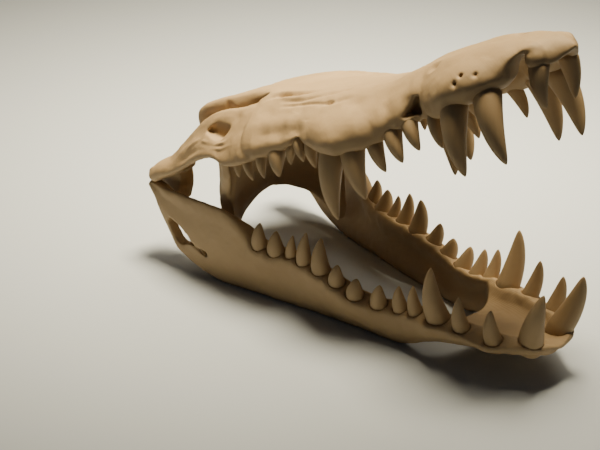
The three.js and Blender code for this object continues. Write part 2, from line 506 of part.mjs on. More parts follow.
// Chin: both sides grown together under a dished shelf.
function chin() {
  const at = {
    keelZ: along(KEEL_Z), keelY: along(KEEL_Y), rimY: along(RIM_Y), rimZ: along(RIM_Z),
    innerZ: along(INNER_Z), width: along(RIM_WIDTH), shelf: along(SHELF_Z),
  };
  return skin(CHIN_STATIONS.map((x) => {
    const [kz, ky, ry, rz] = [at.keelZ(x), at.keelY(x), at.rimY(x), at.rimZ(x)];
    const [iz, w, shelf] = [at.innerZ(x), at.width(x), at.shelf(x)];
    const inner = Math.max(ry - w, LEAST_HALF);
    const edge = Math.min(RIM_EDGE, w * CHIN_EDGE);
    const belly = Math.min(JAW_BELLY, w * CHIN_EDGE);
    const [shareOut, shareUp] = OUTER_RISE.middle;
    return bothHalves([[x, 0, shelf],
      ...SHELF_CORNERS.map(([across, up]) => [x, inner * across, mix(shelf, iz, up)]),
      [x, inner, iz], [x, ry - w * RIM_MIDDLE, (iz + rz) / 2], [x, ry - edge, rz],
      [x, ry, mix(kz, rz, OUTER_RISE.rim)], [x, ry, mix(kz, rz, OUTER_RISE.brow)],
      [x, mix(ky, ry, shareOut) + belly, mix(kz, rz, shareUp)],
      [x, ky + belly, mix(kz, rz, OUTER_RISE.belly)], [x, ky, kz], [x, Math.max(ky - KEEL_WIDTH, ky * CHIN_KEEL), kz], [x, ky * CHIN_BELLY, kz + BELLY_RISE],
      [x, 0, kz + BELLY_RISE]]);
  }));
}

// One side of the lower jaw with its window and the socket for the condyle cut out.
function jawSide() {
  const gape = THREE.MathUtils.degToRad(GAPE_DEG);
  const geometry = new THREE.CylinderGeometry(CONDYLE.r + GAP, CONDYLE.r + GAP, FAR, ROUND_SIDES);
  geometry.translate(JOINT.x + CONDYLE.x * Math.cos(gape) - CONDYLE.z * Math.sin(gape), 0,
    JOINT.z + CONDYLE.x * Math.sin(gape) + CONDYLE.z * Math.cos(gape));
  return ramus().subtract(sideways(JAW_WINDOW, JAW_WINDOW_IN_Y, FAR)).subtract(fromGeometry(geometry));
}

// The rounded condyle that turns in the socket of the lower jaw (frame of the upper skull).
function condyle() {
  const [y0, y1] = CONDYLE_Y;
  const geometry = new THREE.CylinderGeometry(CONDYLE.r, CONDYLE.r, y1 - y0, ROUND_SIDES);
  geometry.translate(CONDYLE.x, (y0 + y1) / 2, CONDYLE.z);
  return fromGeometry(geometry);
}

const upper = upperSkull().add(pair(condyle()));
const jawLeft = jawSide();
const half = GAP / 2;
const snout = upper.intersect(box(CUT_SNOUT_X + half, FAR, -FAR, FAR, -FAR, FAR));
const faceLeft = upper.intersect(box(CUT_FACE_X + half, CUT_SNOUT_X - half, half, FAR, -FAR, FAR));
const rear = upper.intersect(box(-FAR, CUT_FACE_X - half, -FAR, FAR, -FAR, FAR));
const crown = rear.intersect(box(-FAR, FAR, -FAR, FAR, CUT_PTERYGOID_Z + half, FAR));
const wings = rear.intersect(box(CUT_WING_X, FAR, -WING_REACH, WING_REACH, -FAR, CUT_PTERYGOID_Z - half));
const quadrateFoot = rear.intersect(box(-FAR, CUT_WING_X - GAP, -FAR, 0, -FAR, CUT_PTERYGOID_Z + half));
const cheekRight = crown.intersect(box(-FAR, FAR, -FAR, -CUT_CHEEK_Y - half, -FAR, FAR)).add(quadrateFoot);
const middle = crown.intersect(box(-FAR, FAR, -CUT_CHEEK_Y + half, CUT_CHEEK_Y - half, -FAR, FAR));

const BONE = { color: 0xc9a878, roughness: 0.82, metalness: 0 };

// A named mesh from a finished solid.
function part(name, body) {
  const mesh = body.getMesh();
  const geometry = new THREE.BufferGeometry();
  geometry.setAttribute('position', new THREE.BufferAttribute(new Float32Array(mesh.vertProperties), 3));
  geometry.setIndex(new THREE.BufferAttribute(new Uint32Array(mesh.triVerts), 1));
  geometry.computeVertexNormals();
  const made = new THREE.Mesh(geometry, new THREE.MeshStandardMaterial(BONE));
  made.name = name;
  return made;
}

const skull = new THREE.Group();
skull.position.set(JOINT.x - MIDDLE_X, 0, JOINT.z);
skull.rotation.y = -THREE.MathUtils.degToRad(GAPE_DEG);
skull.add(part('premaxilla', withTeeth(snout, PREMAXILLA_TEETH, [1, -1])));
skull.add(part('maxilla_right', withTeeth(mirrored(faceLeft), MAXILLA_TEETH, [-1])));
skull.add(part('maxilla_left', withTeeth(faceLeft, MAXILLA_TEETH, [1])));
skull.add(part('cranium', middle));
skull.add(part('pterygoid', wings));
skull.add(part('cheek_right', withTeeth(cheekRight, CHEEK_TEETH, [-1])));
skull.add(part('cheek_left', withTeeth(mirrored(cheekRight), CHEEK_TEETH, [1])));

const jaw = new THREE.Group();
jaw.position.x = -MIDDLE_X;
jaw.add(part('mandible_right', withTeeth(mirrored(jawLeft), RAMUS_TEETH, [-1])));
jaw.add(part('mandible_left', withTeeth(jawLeft, RAMUS_TEETH, [1])));
jaw.add(part('chin', withTeeth(chin(), CHIN_TEETH, [1, -1])));

const group = new THREE.Group();
group.add(skull, jaw);

export default group;
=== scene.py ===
"""Printed crocodile skull replica with its jaws wide open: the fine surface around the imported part.

Shapes are drawn in millimetres. The upper skull has a frame of its own: origin on the jaw joint,
x along the tooth margin towards the snout, y to the skull's left, z up; the gape then tips it up
about the joint. The lower jaw is drawn in a frame whose z = 0 is the table. Tables of stations give
a size at places along x. Each bone is a skin over smooth loops, joined and cut as a solid,
remeshed finely, embossed with its furrows, pits and tooth sockets, and thinned.
"""

import logging
from collections.abc import Callable
from dataclasses import dataclass, field
from enum import Enum

import bpy
import numpy as np
from mathutils import Matrix


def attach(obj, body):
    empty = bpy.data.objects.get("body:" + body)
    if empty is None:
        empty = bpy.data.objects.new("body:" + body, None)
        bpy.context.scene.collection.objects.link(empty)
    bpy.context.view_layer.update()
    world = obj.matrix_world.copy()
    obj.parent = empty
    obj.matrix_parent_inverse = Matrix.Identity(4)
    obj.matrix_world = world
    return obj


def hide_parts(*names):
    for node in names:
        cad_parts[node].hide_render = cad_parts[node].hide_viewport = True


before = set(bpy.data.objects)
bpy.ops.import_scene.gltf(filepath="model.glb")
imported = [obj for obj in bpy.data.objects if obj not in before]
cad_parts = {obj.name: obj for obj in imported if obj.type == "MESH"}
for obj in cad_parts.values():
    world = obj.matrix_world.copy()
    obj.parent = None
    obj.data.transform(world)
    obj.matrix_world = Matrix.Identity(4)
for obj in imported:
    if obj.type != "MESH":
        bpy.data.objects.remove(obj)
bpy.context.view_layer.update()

LOG = logging.getLogger("crocodile_skull")
MM = 0.001
GAPE = np.radians(27.0)
MIDDLE_X = 41.0
JOINT = np.array([-74.3 - MIDDLE_X, 0.0, 44.3])
SEED = 7

Point = tuple[float, float, float]
Outline = tuple[tuple[float, float], ...]


class Course:
    """A smooth value between stations along x.

    Formula: a cubic through the stations whose slope at each is the harmonic mean of the slopes
    on both sides, or nothing where they differ in sign, so the value never overshoots.
    """

    def __init__(self, *stations: tuple[float, float]) -> None:
        """Keeps the stations and works out the slope at each.

        Args:
            stations: Pairs of place and value, in order of place.
        """
        self.places, self.values = np.array(stations, float).T
        steps = np.diff(self.values) / np.diff(self.places)
        before, after = steps[:-1], steps[1:]
        total = np.where(before + after == 0.0, 1.0, before + after)
        mean = np.where(before * after > 0.0, 2.0 * before * after / total, 0.0)
        self.slopes = np.concatenate([steps[:1], mean, steps[-1:]])

    def __call__(self, x: np.ndarray) -> np.ndarray:
        """Gives the value at each place.

        Args:
            x: Places along the stations.

        Returns:
            The values, one for each place.
        """
        x = np.clip(x, self.places[0], self.places[-1])
        i = np.clip(np.searchsorted(self.places, x, "right") - 1, 0, len(self.places) - 2)
        span = self.places[i + 1] - self.places[i]
        t = (x - self.places[i]) / span
        rise = t * t * (3.0 - 2.0 * t)
        leave = t * (1.0 - t) ** 2 * span * self.slopes[i]
        arrive = t * t * (t - 1.0) * span * self.slopes[i + 1]
        return self.values[i] + (self.values[i + 1] - self.values[i]) * rise + leave + arrive


# ---- upper skull, muzzle ----
CREST_Z = Course((12, 27.4), (20, 29.6), (30, 30.5), (47, 29.6), (71, 27.5), (94, 22.4), (113, 19.2),
                 (137, 14.2), (158, 11.8), (174, 13.2), (190, 14.9), (219, 14.3), (231, 12.7), (242, 10.5),
                 (252.6, 7), (257.4, 3.2), (259, 1))
SHOULDER_Y = Course((76, 21.6), (79.5, 23.2), (94, 25), (113, 24), (137, 20), (160, 15), (180, 14),
                    (205, 18), (228, 15), (242, 9), (252, 4.4), (257.4, 1.6), (259, 0.2))
SHOULDER_Z = Course((76, 24), (79.5, 25.6), (94, 21.6), (113, 17), (137, 12.4), (160, 10.2),
                    (180, 11.2), (205, 12), (228, 11), (242, 8.6), (252, 5.6), (257.4, 2.4), (259, 0.8))
FLANK_Y = Course((76, 47), (79.5, 50), (94, 47.5), (108, 43.8), (114, 42), (121, 42.5), (134, 44.8),
                 (147, 41), (157, 36.3), (165, 33), (175, 30), (181, 26.5), (187, 27.5), (195, 31.5),
                 (207, 35.2), (215, 34.4), (228, 28.6), (237, 21.8), (243, 16.4), (248, 12.6), (253, 8),
                 (256.6, 4), (259, 0.5))
FLANK_Z = Course((76, 2), (108, 1), (121, -3), (134, -6.5), (157, -7), (175, -4), (181, 2), (188, -2),
                 (195, -3), (205, -2.5), (212, 0.5), (222, 1), (230, 0.4), (240, 4), (246, 5.6), (253, 0.5),
                 (259, 0))
MARGIN_Z = Course((76, -5), (98, -4.6), (107, -3.6), (113.5, -1), (119, -6.5), (134, -12.8),
                  (147, -14.6), (157, -14.2), (165, -11.6), (172.5, -10.7), (178, -10.3), (183, -9.8),
                  (185.4, -10.8), (189, -11), (195, -11.4), (214, -9.4), (228, -7.8),
                  (234.6, -5.4), (236.4, -2), (239.4, 2.2), (243, 4.4), (246, 2.6), (247.6, -2),
                  (249, -3.6), (250.6, -4), (252.8, -3.6), (255.2, -2.6), (257.4, -1.6), (259, -0.8))
PALATE_Z = Course((76, -1), (100, 1.5), (180, 3), (225, 3.4), (240, 6.2), (246, 6), (250, -2.4),
                  (255.4, -2.2), (259, -0.3))
RIDGE_WIDTH = Course((76, 8), (121, 10), (147, 10.5), (175, 8), (184, 7), (207, 12), (228, 11), (240, 7),
                     (252, 5), (259, 0.3))
MARGIN_INSET = Course((76, 1.4), (178, 1.4), (183, 0.8), (205, 1.6), (213, 5.4), (228, 5.4), (236, 3),
                      (240, 1.6), (252, 0.8), (259, 0.05))
MUZZLE_X = (76.0, 259.0)
SNOUT_NOTCH = ((174.8, -7.2), (177.2, -4.4), (180.6, -1.8), (183.6, 0.4), (185.6, 0.2), (185.8, -4),
               (184.9, -7.6), (180, -7.8))
SNOUT_NOTCH_IN_Y = 21.0

# ---- upper skull, back part ----
TABLE_Y = Course((12, 24.5), (18, 26.5), (27, 27), (45, 25.8), (66, 24), (84, 23))
TABLE_Z = Course((12, 27.2), (18, 29), (27, 30), (40, 29.9), (55, 28.7), (66, 27.7), (81, 25.6),
                 (84, 23.4))
GROOVE_Z = Course((12, 7), (20, 10.5), (31, 15.5), (43, 19), (55, 19), (70, 20), (84, 22))
CHEEK_TOP_Y = Course((12, 46.5), (24, 43.5), (34, 40.6), (46, 38.2), (58, 36), (70, 33), (81, 29.8),
                     (84, 27))
CHEEK_TOP_Z = Course((12, 9.4), (20, 12.8), (31, 17.9), (43, 22.4), (55, 24), (63, 23.2), (70, 21.9),
                     (81, 21.6), (84, 19))
CHEEK_LOW_Y = Course((12, 52.5), (30, 51.5), (52, 52), (66, 51.3), (81, 50), (84, 47))
CHEEK_LOW_Z = Course((12, 1.1), (18, 1.2), (30, 2.6), (43, 3.9), (52, 3.4), (57, 1.6), (61, -2.2),
                     (66, -4.2), (72, -4.7), (84, -4.9))
CHAMBER_Z = Course((12, 3), (20, 6), (31, 8.6), (58, 9), (65, -2.5), (84, -1))
BRAINCASE_Y = Course((12, 11), (30, 15), (58, 13), (65, 15), (84, 15))
BRAINCASE_LOW_Z = Course((12, -3), (30, -9), (50, -9), (65, -4), (84, -1))
CRANIUM_X = (12.0, 84.0)
CHEEK_THICKNESS = 5.5
CHEEK_BULGE = Course((12, 1.2), (58, 1.2), (72, 3), (81, 3.8), (84, 2.4))
SWEEP_LENGTH = 13.0
SWEEP_END_X = 45.0
SWEEP_REACH_Y = 50.0

# ---- quadrates, condyle and pterygoid ----
QUADRATE_TOP_Z = Course((-2.6, 5.2), (-1, 7.6), (2, 8.8), (8, 9.3), (14, 9.6), (20, 9))
QUADRATE_LOW_Z = Course((-2.6, 2.2), (-1, 0.8), (2, 0.2), (8, 0.8), (14, 0.6), (20, 1))
QUADRATE_OUT_Y = Course((-2.6, 51), (-1, 53.4), (8, 53.2), (20, 50))
QUADRATE_IN_Y = Course((-2.6, 40), (-1, 37.5), (8, 36), (20, 36))
QUADRATE_X = (-2.6, 20.0)
QUADRATE_WALL = ((0, 6), (14, 10.5), (23, 11.5), (20, 5), (15, 1), (13.6, -3), (11.5, -7), (8.8, -10),
                 (4.5, -13.6), (2, -13), (0, -2))
QUADRATE_WALL_Y = (35.0, 41.0)
QUADRATE_WEB = ((-6.5, 1.5), (0, 6), (14, 8), (14, 1), (12, -5), (8, -9), (2, -11), (-3, -8), (-6, -3))
QUADRATE_WEB_Y = (37.0, 44.2)
CONDYLE = (1.4, 3.6)
CONDYLE_RADIUS = 4.2
CONDYLE_Y = (37.5, 52.0)
WING_LOW_Z = Course((0, -21.5), (9, -23.6), (18, -27.6), (26, -33), (32, -40), (36.5, -49), (39.5, -53),
                    (40.6, -21), (46.5, -11))
WING_LOW_X = Course((0, 27), (18, 27), (32, 27), (36.5, 26.2), (39.5, 26.4), (40.8, 38), (46.5, 53))
WING_LOW_DEPTH = Course((0, 4), (32, 4.5), (39.5, 8.5), (46.5, 6))
WING_BACK_X = Course((0, 24), (18, 25), (26, 32), (32, 43), (36.5, 49), (39.5, 53), (40.6, 53),
                     (46.5, 58))
WING_FRONT_X = Course((0, 64), (26, 62), (41, 58), (46.5, 62))
WING_TOP_Z = 10.0
WING_REACH_Y = 46.5
OCCIPITAL_CONDYLE = ((24.5, 0.0, 5.0), (5.0, 5.0, 5.0))
TOOTH_LIP = ((245.2, 9.8, 0.2), (4.9, 5.4, 5.0))

# ---- openings of the upper skull ----
ORBIT = ((46, 26.6), (56, 26), (68, 25), (80, 24.4), (83, 25.4), (78, 29), (68, 31), (56, 31), (48, 28.6))
ORBIT_LOW_Z = 10.0
CHEEK_HOLE = ((48.8, 16), (52, 17.8), (56.5, 19), (61.5, 19.4), (66.2, 18), (66, 14.8), (63.6, 11.6),
              (60, 9.4), (56, 11), (52, 13.6))
CHEEK_HOLE_IN_Y = 41.0
FORAMINA = ((216.9, 33.6, 0.0), (219.6, 30.4, 2.4), (225.8, 29.2, 0.9))
FORAMEN_RADII = (1.3, 2.8, 1.3)
NOSTRIL = ((233.0, 0.0, 15.4), (6.4, 4.0, 5.2))
CHOANA = ((57.0, 0.0, -24.0), (7.0, 5.0, 7.0))
FORAMEN_MAGNUM = ((25.0, 0.0, 13.5), (7.0, 4.5, 4.5))
PALATE_WINDOW = ((86, 14), (86, 25), (94, 29), (106, 27.5), (115, 23), (119, 18.5), (112, 13), (98, 10.6))
PALATE_WINDOW_TOP_Z = 11.0

# ---- lower jaw ----
KEEL_Z = Course((-79, 41), (-74, 35), (-70, 28.4), (-64, 19.5), (-58, 12.6), (-50, 7.2), (-43, 4.2),
                (-34, 1.6), (-24, 0), (82, 0), (90, 2), (99, 6), (107, 8.6), (125, 11.2), (140, 12.2),
                (150, 13.4), (156, 14.8), (159.4, 16.4), (161, 18))
KEEL_Y = Course((-79, 50.5), (-60, 50.6), (-43, 48.6), (-25, 45.2), (0, 40.2), (32, 33.6), (51, 30.6),
                (65, 28.3), (80, 26.6), (99, 24.6), (107, 23.2), (125, 18.6), (138, 14.4), (146, 11.4),
                (152, 8.8), (157, 5.6), (160, 2.6), (161, 0.6))
RIM_Y = Course((-79, 51.5), (-64, 52.2), (-43, 51.2), (-15, 48.4), (-2, 45.4), (8, 43.4), (17, 41),
               (26, 40.2), (37, 40), (49, 39.8), (60, 38.6), (73, 35), (85, 31.9), (95, 31.2),
               (107, 32.2), (114, 31.2), (122, 29.8), (138, 26.6), (145, 23), (150, 19.6), (154, 17),
               (157.6, 13.4), (159.8, 8.6), (161, 2.4))
RIM_Z = Course((-79, 43.6), (-72, 43.6), (-64, 43.4), (-50, 43.4), (-33, 43.8), (-24, 43.6), (-16, 41.2),
               (-11, 38), (-7, 33.5), (-3, 28.4), (8, 26.4), (17, 27), (37, 25.2), (49, 22.6),
               (60, 19.4), (73, 17.6), (85, 18.5), (95, 20.2), (107, 20.8), (122, 21.6), (138, 20),
               (152, 21.8), (158, 21.2), (161, 20))
INNER_Z = Course((-79, 43.2), (-72, 43), (-64, 42.2), (-50, 41.4), (-33, 41.4), (-20, 41), (-10, 37.4),
                 (-3, 31.5), (4, 29), (17, 28.4), (37, 27.2), (60, 22), (73, 20.6), (85, 21.4),
                 (107, 25), (122, 25), (138, 24.4), (152, 23.4), (158, 21.8), (161, 20.2))
RIM_WIDTH = Course((-79, 7), (-60, 5.6), (-30, 5), (-14, 6.6), (-3, 9.4), (8, 10.6), (49, 10.6),
                   (99, 9.6), (107, 12), (122, 10), (138, 9.6), (150, 8.4), (157, 5.6), (161, 1.6))
SHELF_Z = Course((97, 15.4), (115, 16.4), (135, 18), (150, 19.6), (158, 20.2), (161, 19.8))
RAMUS_X = (-79.0, 104.0)
CHIN_X = (96.0, 161.0)
KEEL_WIDTH = 2.4
BELLY_RISE = 0.8
CHIN_NOTCH_X = 92.0
CHIN_NOTCH_RADII = (15.0, 23.0)
JOINT_GAP = 0.3
JOINT_IN_Y = 30.0
JAW_WINDOW = ((-61.6, 27.4), (-57, 26.8), (-52, 24.6), (-47.5, 21.4), (-43, 17.6), (-34, 13.9),
              (-41, 16.6), (-47, 16.8), (-52, 15.2), (-56, 16.8), (-59.4, 21.4))

# How far cuts reach past the bone, to the side and upwards.
FAR_SIDE = 80.0
FAR_UP = 60.0

# ---- teeth of the right side: base centre, tip, root radius ----
PREMAXILLA_TEETH = (
    ((244.6, 9.8, -3.8), (241.4, 10, -21.9), 4.9),
    ((224, 23.8, -9.1), (224.9, 26.3, -39.7), 6.9),
    ((207.9, 28.8, -9.4), (205.1, 32.6, -39.9), 6.8),
    ((192.8, 27.4, -11), (193.5, 29.2, -25.4), 3.9),
)
MAXILLA_TEETH = (
    ((174.2, 25.6, -9.9), (177.2, 27.6, -23.7), 4.4),
    ((164.6, 28.4, -11.5), (167.6, 31, -26.8), 5),
    ((153.5, 31, -14), (156.4, 32.5, -28.8), 4.5),
    ((142, 35.2, -14.4), (142.1, 36.9, -38.4), 6.5),
    ((131.2, 38, -12.6), (123.6, 41.5, -44.2), 6.7),
    ((117.2, 38, -6.4), (115.8, 38.2, -17.7), 3.4),
    ((110.3, 38, -2), (111.5, 40.6, -13.1), 3.7),
    ((105.8, 39.6, -3.6), (103.9, 42.6, -12.6), 3),
    ((96.8, 42.4, -4.5), (95.8, 45.4, -16.7), 4.7),
    ((86.8, 45.2, -4.6), (86.4, 47, -15.3), 3.1),
    ((77, 46.8, -4.6), (78.6, 48.2, -14.7), 2.8),
    ((70.6, 47.8, -4), (69.8, 49, -11.2), 2.4),
)
UPPER_TEETH = PREMAXILLA_TEETH + MAXILLA_TEETH
MANDIBLE_TEETH = (
    ((-1.9, 40.8, 28), (0, 42.1, 41.4), 4.5),
    ((8.1, 38.3, 27), (10, 40, 39.4), 5),
    ((17.4, 36.6, 27.6), (20, 37.8, 39.7), 3.2),
    ((26.2, 35.6, 26.8), (28.8, 37, 43.9), 4.4),
    ((37.3, 34.7, 26.2), (38.1, 35.6, 43.6), 5.1),
    ((48.7, 35, 23.6), (51.2, 36.9, 34), 4.4),
    ((60.1, 33.5, 20.4), (62.5, 34.9, 29.9), 4.7),
    ((73.1, 30, 19), (76, 32.7, 30.6), 4.6),
    ((85.2, 27.2, 20), (86.9, 30.9, 33.5), 4.1),
    ((94.6, 26.7, 21.6), (95.7, 30.4, 36.6), 3.9),
    ((107.4, 25.2, 23), (107.3, 31.6, 50.4), 6),
    ((121.7, 24.9, 23.2), (123.2, 29.1, 40.2), 4.3),
    ((138.3, 21.6, 22), (139.8, 26.1, 38.7), 4.4),
    ((151.6, 10.6, 22.4), (160, 14.3, 49.7), 6.2),
)


class Frame(Enum):
    """The frame a bone is drawn in."""

    SKULL = "skull"
    JAW = "jaw"


def placed(points: np.ndarray, drawn_in: Frame) -> np.ndarray:
    """Moves points from the frame they are drawn in to the frame of the whole, still in millimetres.

    Formula: in the skull's frame, X = Jx + x·cos g − z·sin g and Z = Jz + x·sin g + z·cos g, with g
    the gape and J the joint; in the jaw's frame, X = x − middle.

    Args:
        points: Points, one row each.
        drawn_in: The frame they are drawn in.

    Returns:
        The moved points.
    """
    if drawn_in is Frame.JAW:
        return points - np.array([MIDDLE_X, 0.0, 0.0])
    x, y, z = points.T
    cos, sin = np.cos(GAPE), np.sin(GAPE)
    return np.stack([x * cos - z * sin, y, x * sin + z * cos], axis=1) + JOINT


def smooth_loops(corners: np.ndarray, per_edge: int) -> np.ndarray:
    """Closed smooth loops through corners, one loop for each station.

    Formula: from corner A to corner B, at t from 0 to 1, P = A + (B − A)·(3t² − 2t³)
    + L·t(1 − t)²·a − L·t²(1 − t)·b, with L the distance from A to B and a and b the directions of
    the loop at A and B, each the mean of the directions before and after it.

    Args:
        corners: Corners, shape (stations, corners, 3).
        per_edge: Points made for each stretch between corners.

    Returns:
        Points of the loops, shape (stations, corners · per_edge, 3).
    """
    ahead = np.roll(corners, -1, axis=1) - corners
    length = np.linalg.norm(ahead, axis=2, keepdims=True)
    unit = ahead / np.maximum(length, 1e-9)
    direction = unit + np.roll(unit, 1, axis=1)
    size = np.linalg.norm(direction, axis=2, keepdims=True)
    direction = direction / np.maximum(size, 1e-9)
    t = (np.arange(per_edge) / per_edge)[None, None, :, None]
    step, span, way = ahead[:, :, None], length[:, :, None], direction[:, :, None]
    next_way = np.roll(direction, -1, axis=1)[:, :, None]
    curve = corners[:, :, None] + step * (t * t * (3.0 - 2.0 * t))
    curve = curve + span * t * (1.0 - t) ** 2 * way - span * t * t * (1.0 - t) * next_way
    return curve.reshape(len(corners), -1, 3)


def both_halves(half: np.ndarray) -> np.ndarray:
    """Whole loops from their right halves, which run from the middle of the top to that of the bottom.

    Args:
        half: Corners of the half loops, shape (stations, corners, 3), y not below 0.

    Returns:
        Corners of the whole loops.
    """
    other = half[:, 1:-1][:, ::-1] * np.array([1.0, -1.0, 1.0])
    return np.concatenate([half, other], axis=1)


def rows(x: np.ndarray, pairs: list[tuple[np.ndarray, np.ndarray]]) -> np.ndarray:
    """Corners of one loop at each station, from pairs of y and z.

    Args:
        x: Places of the stations.
        pairs: For each corner, its y and z at the stations, each a number or a row of numbers.

    Returns:
        Corners, shape (stations, corners, 3).
    """
    columns = [np.stack([x, y + 0.0 * x, z + 0.0 * x], axis=1) for y, z in pairs]
    return np.stack(columns, axis=1)


def add_object(name: str, data: bpy.types.ID) -> bpy.types.Object:
    """Puts a new object into the scene.

    Args:
        name: Name of the object.
        data: Its mesh, camera or lamp.

    Returns:
        The object.
    """
    thing = bpy.data.objects.new(name, data)
    bpy.context.scene.collection.objects.link(thing)
    return thing


def read_rows(items: bpy.types.bpy_prop_collection, name: str, kind: type = np.float32) -> np.ndarray:
    """Reads a value with three parts from each item of a mesh.

    Args:
        items: Its vertices or triangles.
        name: Name of the value.
        kind: Kind of number that it has.

    Returns:
        The values, one row each.
    """
    flat = np.empty(len(items) * 3, kind)
    items.foreach_get(name, flat)
    return flat.reshape(-1, 3)


def write_points(mesh: bpy.types.Mesh, points: np.ndarray) -> None:
    """Moves the vertices of a mesh.

    Args:
        mesh: The mesh.
        points: Where its vertices go, one row each.
    """
    mesh.vertices.foreach_set("co", points.astype(np.float32).ravel())
    mesh.update()


@dataclass
class Clay:
    """A closed solid in millimetres that is joined, cut, remeshed, embossed and thinned."""

    name: str
    points: np.ndarray
    faces: list[tuple[int, ...]]
    thing: bpy.types.Object = field(init=False)

    def __post_init__(self) -> None:
        """Makes the mesh object, its faces turned outwards."""
        mesh = bpy.data.meshes.new(self.name)
        mesh.from_pydata(self.points.tolist(), [], self.faces)
        mesh.validate()
        self.thing = add_object(self.name, mesh)
        if signed_volume(mesh) < 0.0:
            mesh.flip_normals()

    def change(self, kind: str, **settings: object) -> "Clay":
        """Puts a modifier on the solid and applies it.

        Args:
            kind: Blender's name for the modifier.
            settings: Its settings.

        Returns:
            The solid itself.
        """
        modifier = self.thing.modifiers.new(kind.lower(), kind)
        for name, value in settings.items():
            setattr(modifier, name, value)
        graph = bpy.context.evaluated_depsgraph_get()
        changed = bpy.data.meshes.new_from_object(self.thing.evaluated_get(graph))
        self.thing.modifiers.clear()
        old = self.thing.data
        self.thing.data = changed
        bpy.data.meshes.remove(old)
        return self

    def join(self, other: "Clay") -> "Clay":
        """Grows another solid into this one and removes the other.

        Args:
            other: The other solid.

        Returns:
            The solid itself.
        """
        self.change("BOOLEAN", operation="UNION", solver="MANIFOLD", object=other.thing)
        other.remove()
        return self

    def cut(self, other: "Clay") -> "Clay":
        """Takes another solid's room out of this one and removes the other.

        Args:
            other: The other solid.

        Returns:
            The solid itself.
        """
        self.change("BOOLEAN", operation="DIFFERENCE", solver="MANIFOLD", object=other.thing)
        other.remove()
        return self

    def remove(self) -> None:
        """Takes the solid out of the scene."""
        bpy.data.objects.remove(self.thing)

    def smooth(self, voxel: float, rounds: int) -> "Clay":
        """Remeshes the solid with even faces and smooths it.

        Args:
            voxel: Size of the faces, in millimetres.
            rounds: How often each point moves halfway to the mean of its neighbours.

        Returns:
            The solid itself.
        """
        self.change("REMESH", mode="VOXEL", voxel_size=voxel)
        return self.change("SMOOTH", factor=0.5, iterations=rounds)

    def emboss(self, relief: "Relief") -> "Clay":
        """Moves each point along its normal by the relief's height there.

        Args:
            relief: What is raised or sunk.

        Returns:
            The solid itself.
        """
        mesh = self.thing.data
        points = read_rows(mesh.vertices, "co").astype(float)
        normals = read_rows(mesh.vertices, "normal").astype(float)
        write_points(mesh, points + normals * relief.height(points)[:, None])
        return self

    def thin(self, triangles: int) -> "Clay":
        """Collapses short edges until few enough triangles are left.

        Args:
            triangles: About how many stay.

        Returns:
            The solid itself.
        """
        self.change("TRIANGULATE")
        share = triangles / max(len(self.thing.data.polygons), 1)
        if share < 1.0:
            self.change("DECIMATE", ratio=share)
        return self


def signed_volume(mesh: bpy.types.Mesh) -> float:
    """Volume inside a closed mesh, below zero where its faces look inwards.

    Formula: the sum over the triangles of a · (b × c) / 6.

    Args:
        mesh: The mesh.

    Returns:
        Its volume, in cubic units of the mesh.
    """
    mesh.calc_loop_triangles()
    corners = read_rows(mesh.loop_triangles, "vertices", np.int32)
    a, b, c = read_rows(mesh.vertices, "co")[corners].transpose(1, 0, 2)
    return float(np.einsum("ij,ij->i", a, np.cross(b, c)).sum() / 6.0)


def loop_faces(count: int, around: int, start: int = 0) -> list[tuple[int, ...]]:
    """Faces over a row of closed loops, with a flat cap on each end.

    Formula: point (s, i) is loop s at its corner i; a four-sided face joins (s, i), (s, i + 1),
    (s + 1, i + 1) and (s + 1, i), the corner after the last being the first.

    Args:
        count: Number of loops.
        around: Points in each loop.
        start: Number of the first point.

    Returns:
        The faces, as numbers of points.
    """
    s, i = np.meshgrid(np.arange(count - 1), np.arange(around), indexing="ij")
    j = (i + 1) % around
    here, next_loop = start + s * around, start + (s + 1) * around
    quads = np.stack([here + i, here + j, next_loop + j, next_loop + i], axis=-1)
    faces = [tuple(quad) for quad in quads.reshape(-1, 4).tolist()]
    faces.append(tuple(range(start + around - 1, start - 1, -1)))
    faces.append(tuple(range(start + (count - 1) * around, start + count * around)))
    return faces


def skin(name: str, loops: np.ndarray) -> Clay:
    """A solid skinned over a row of closed loops.

    Args:
        name: Name of the solid.
        loops: Points, shape (loops, points in a loop, 3).

    Returns:
        The solid.
    """
    return Clay(name, loops.reshape(-1, 3), loop_faces(*loops.shape[:2]))


class Push(Enum):
    """How an outline is pushed into a slab: the order of its first value, its second and the level."""

    SIDE_VIEW = (0, 2, 1)
    PLAN = (0, 1, 2)


def slab(name: str, outline: Outline, low: float, high: float, push: Push) -> Clay:
    """A smooth outline pushed from one level to another.

    Args:
        name: Name of the solid.
        outline: Corners in x and z for a side view, pushed along y, or in x and y for a plan, along z.
        low: The level it starts at.
        high: The level it ends at.
        push: Which of the two the outline is.

    Returns:
        The solid.
    """
    flat = np.array(outline, float)
    columns = [np.column_stack([flat, 0.0 * flat[:, 0] + level]) for level in (low, high)]
    return skin(name, smooth_loops(np.stack(columns)[..., list(push.value)], 6))


def side_slab(name: str, outline: Outline, reach: tuple[float, float], side: float) -> Clay:
    """A side view pushed between two distances from the middle plane.

    Args:
        name: Name of the solid.
        outline: Corners in x and z.
        reach: Both distances.
        side: 1 for the left side, −1 for the right.

    Returns:
        The solid.
    """
    low, high = sorted(side * y for y in reach)
    return slab(name, outline, low, high, Push.SIDE_VIEW)


def ring(centre: tuple[float, float], radii: tuple[float, float], corners: int) -> Outline:
    """Corners of an ellipse.

    Args:
        centre: Its centre.
        radii: Its two radii.
        corners: How many corners it gets.

    Returns:
        The corners, an outline for a slab.
    """
    turn = np.linspace(0.0, 2.0 * np.pi, corners, endpoint=False)
    return tuple(zip(centre[0] + radii[0] * np.cos(turn), centre[1] + radii[1] * np.sin(turn)))


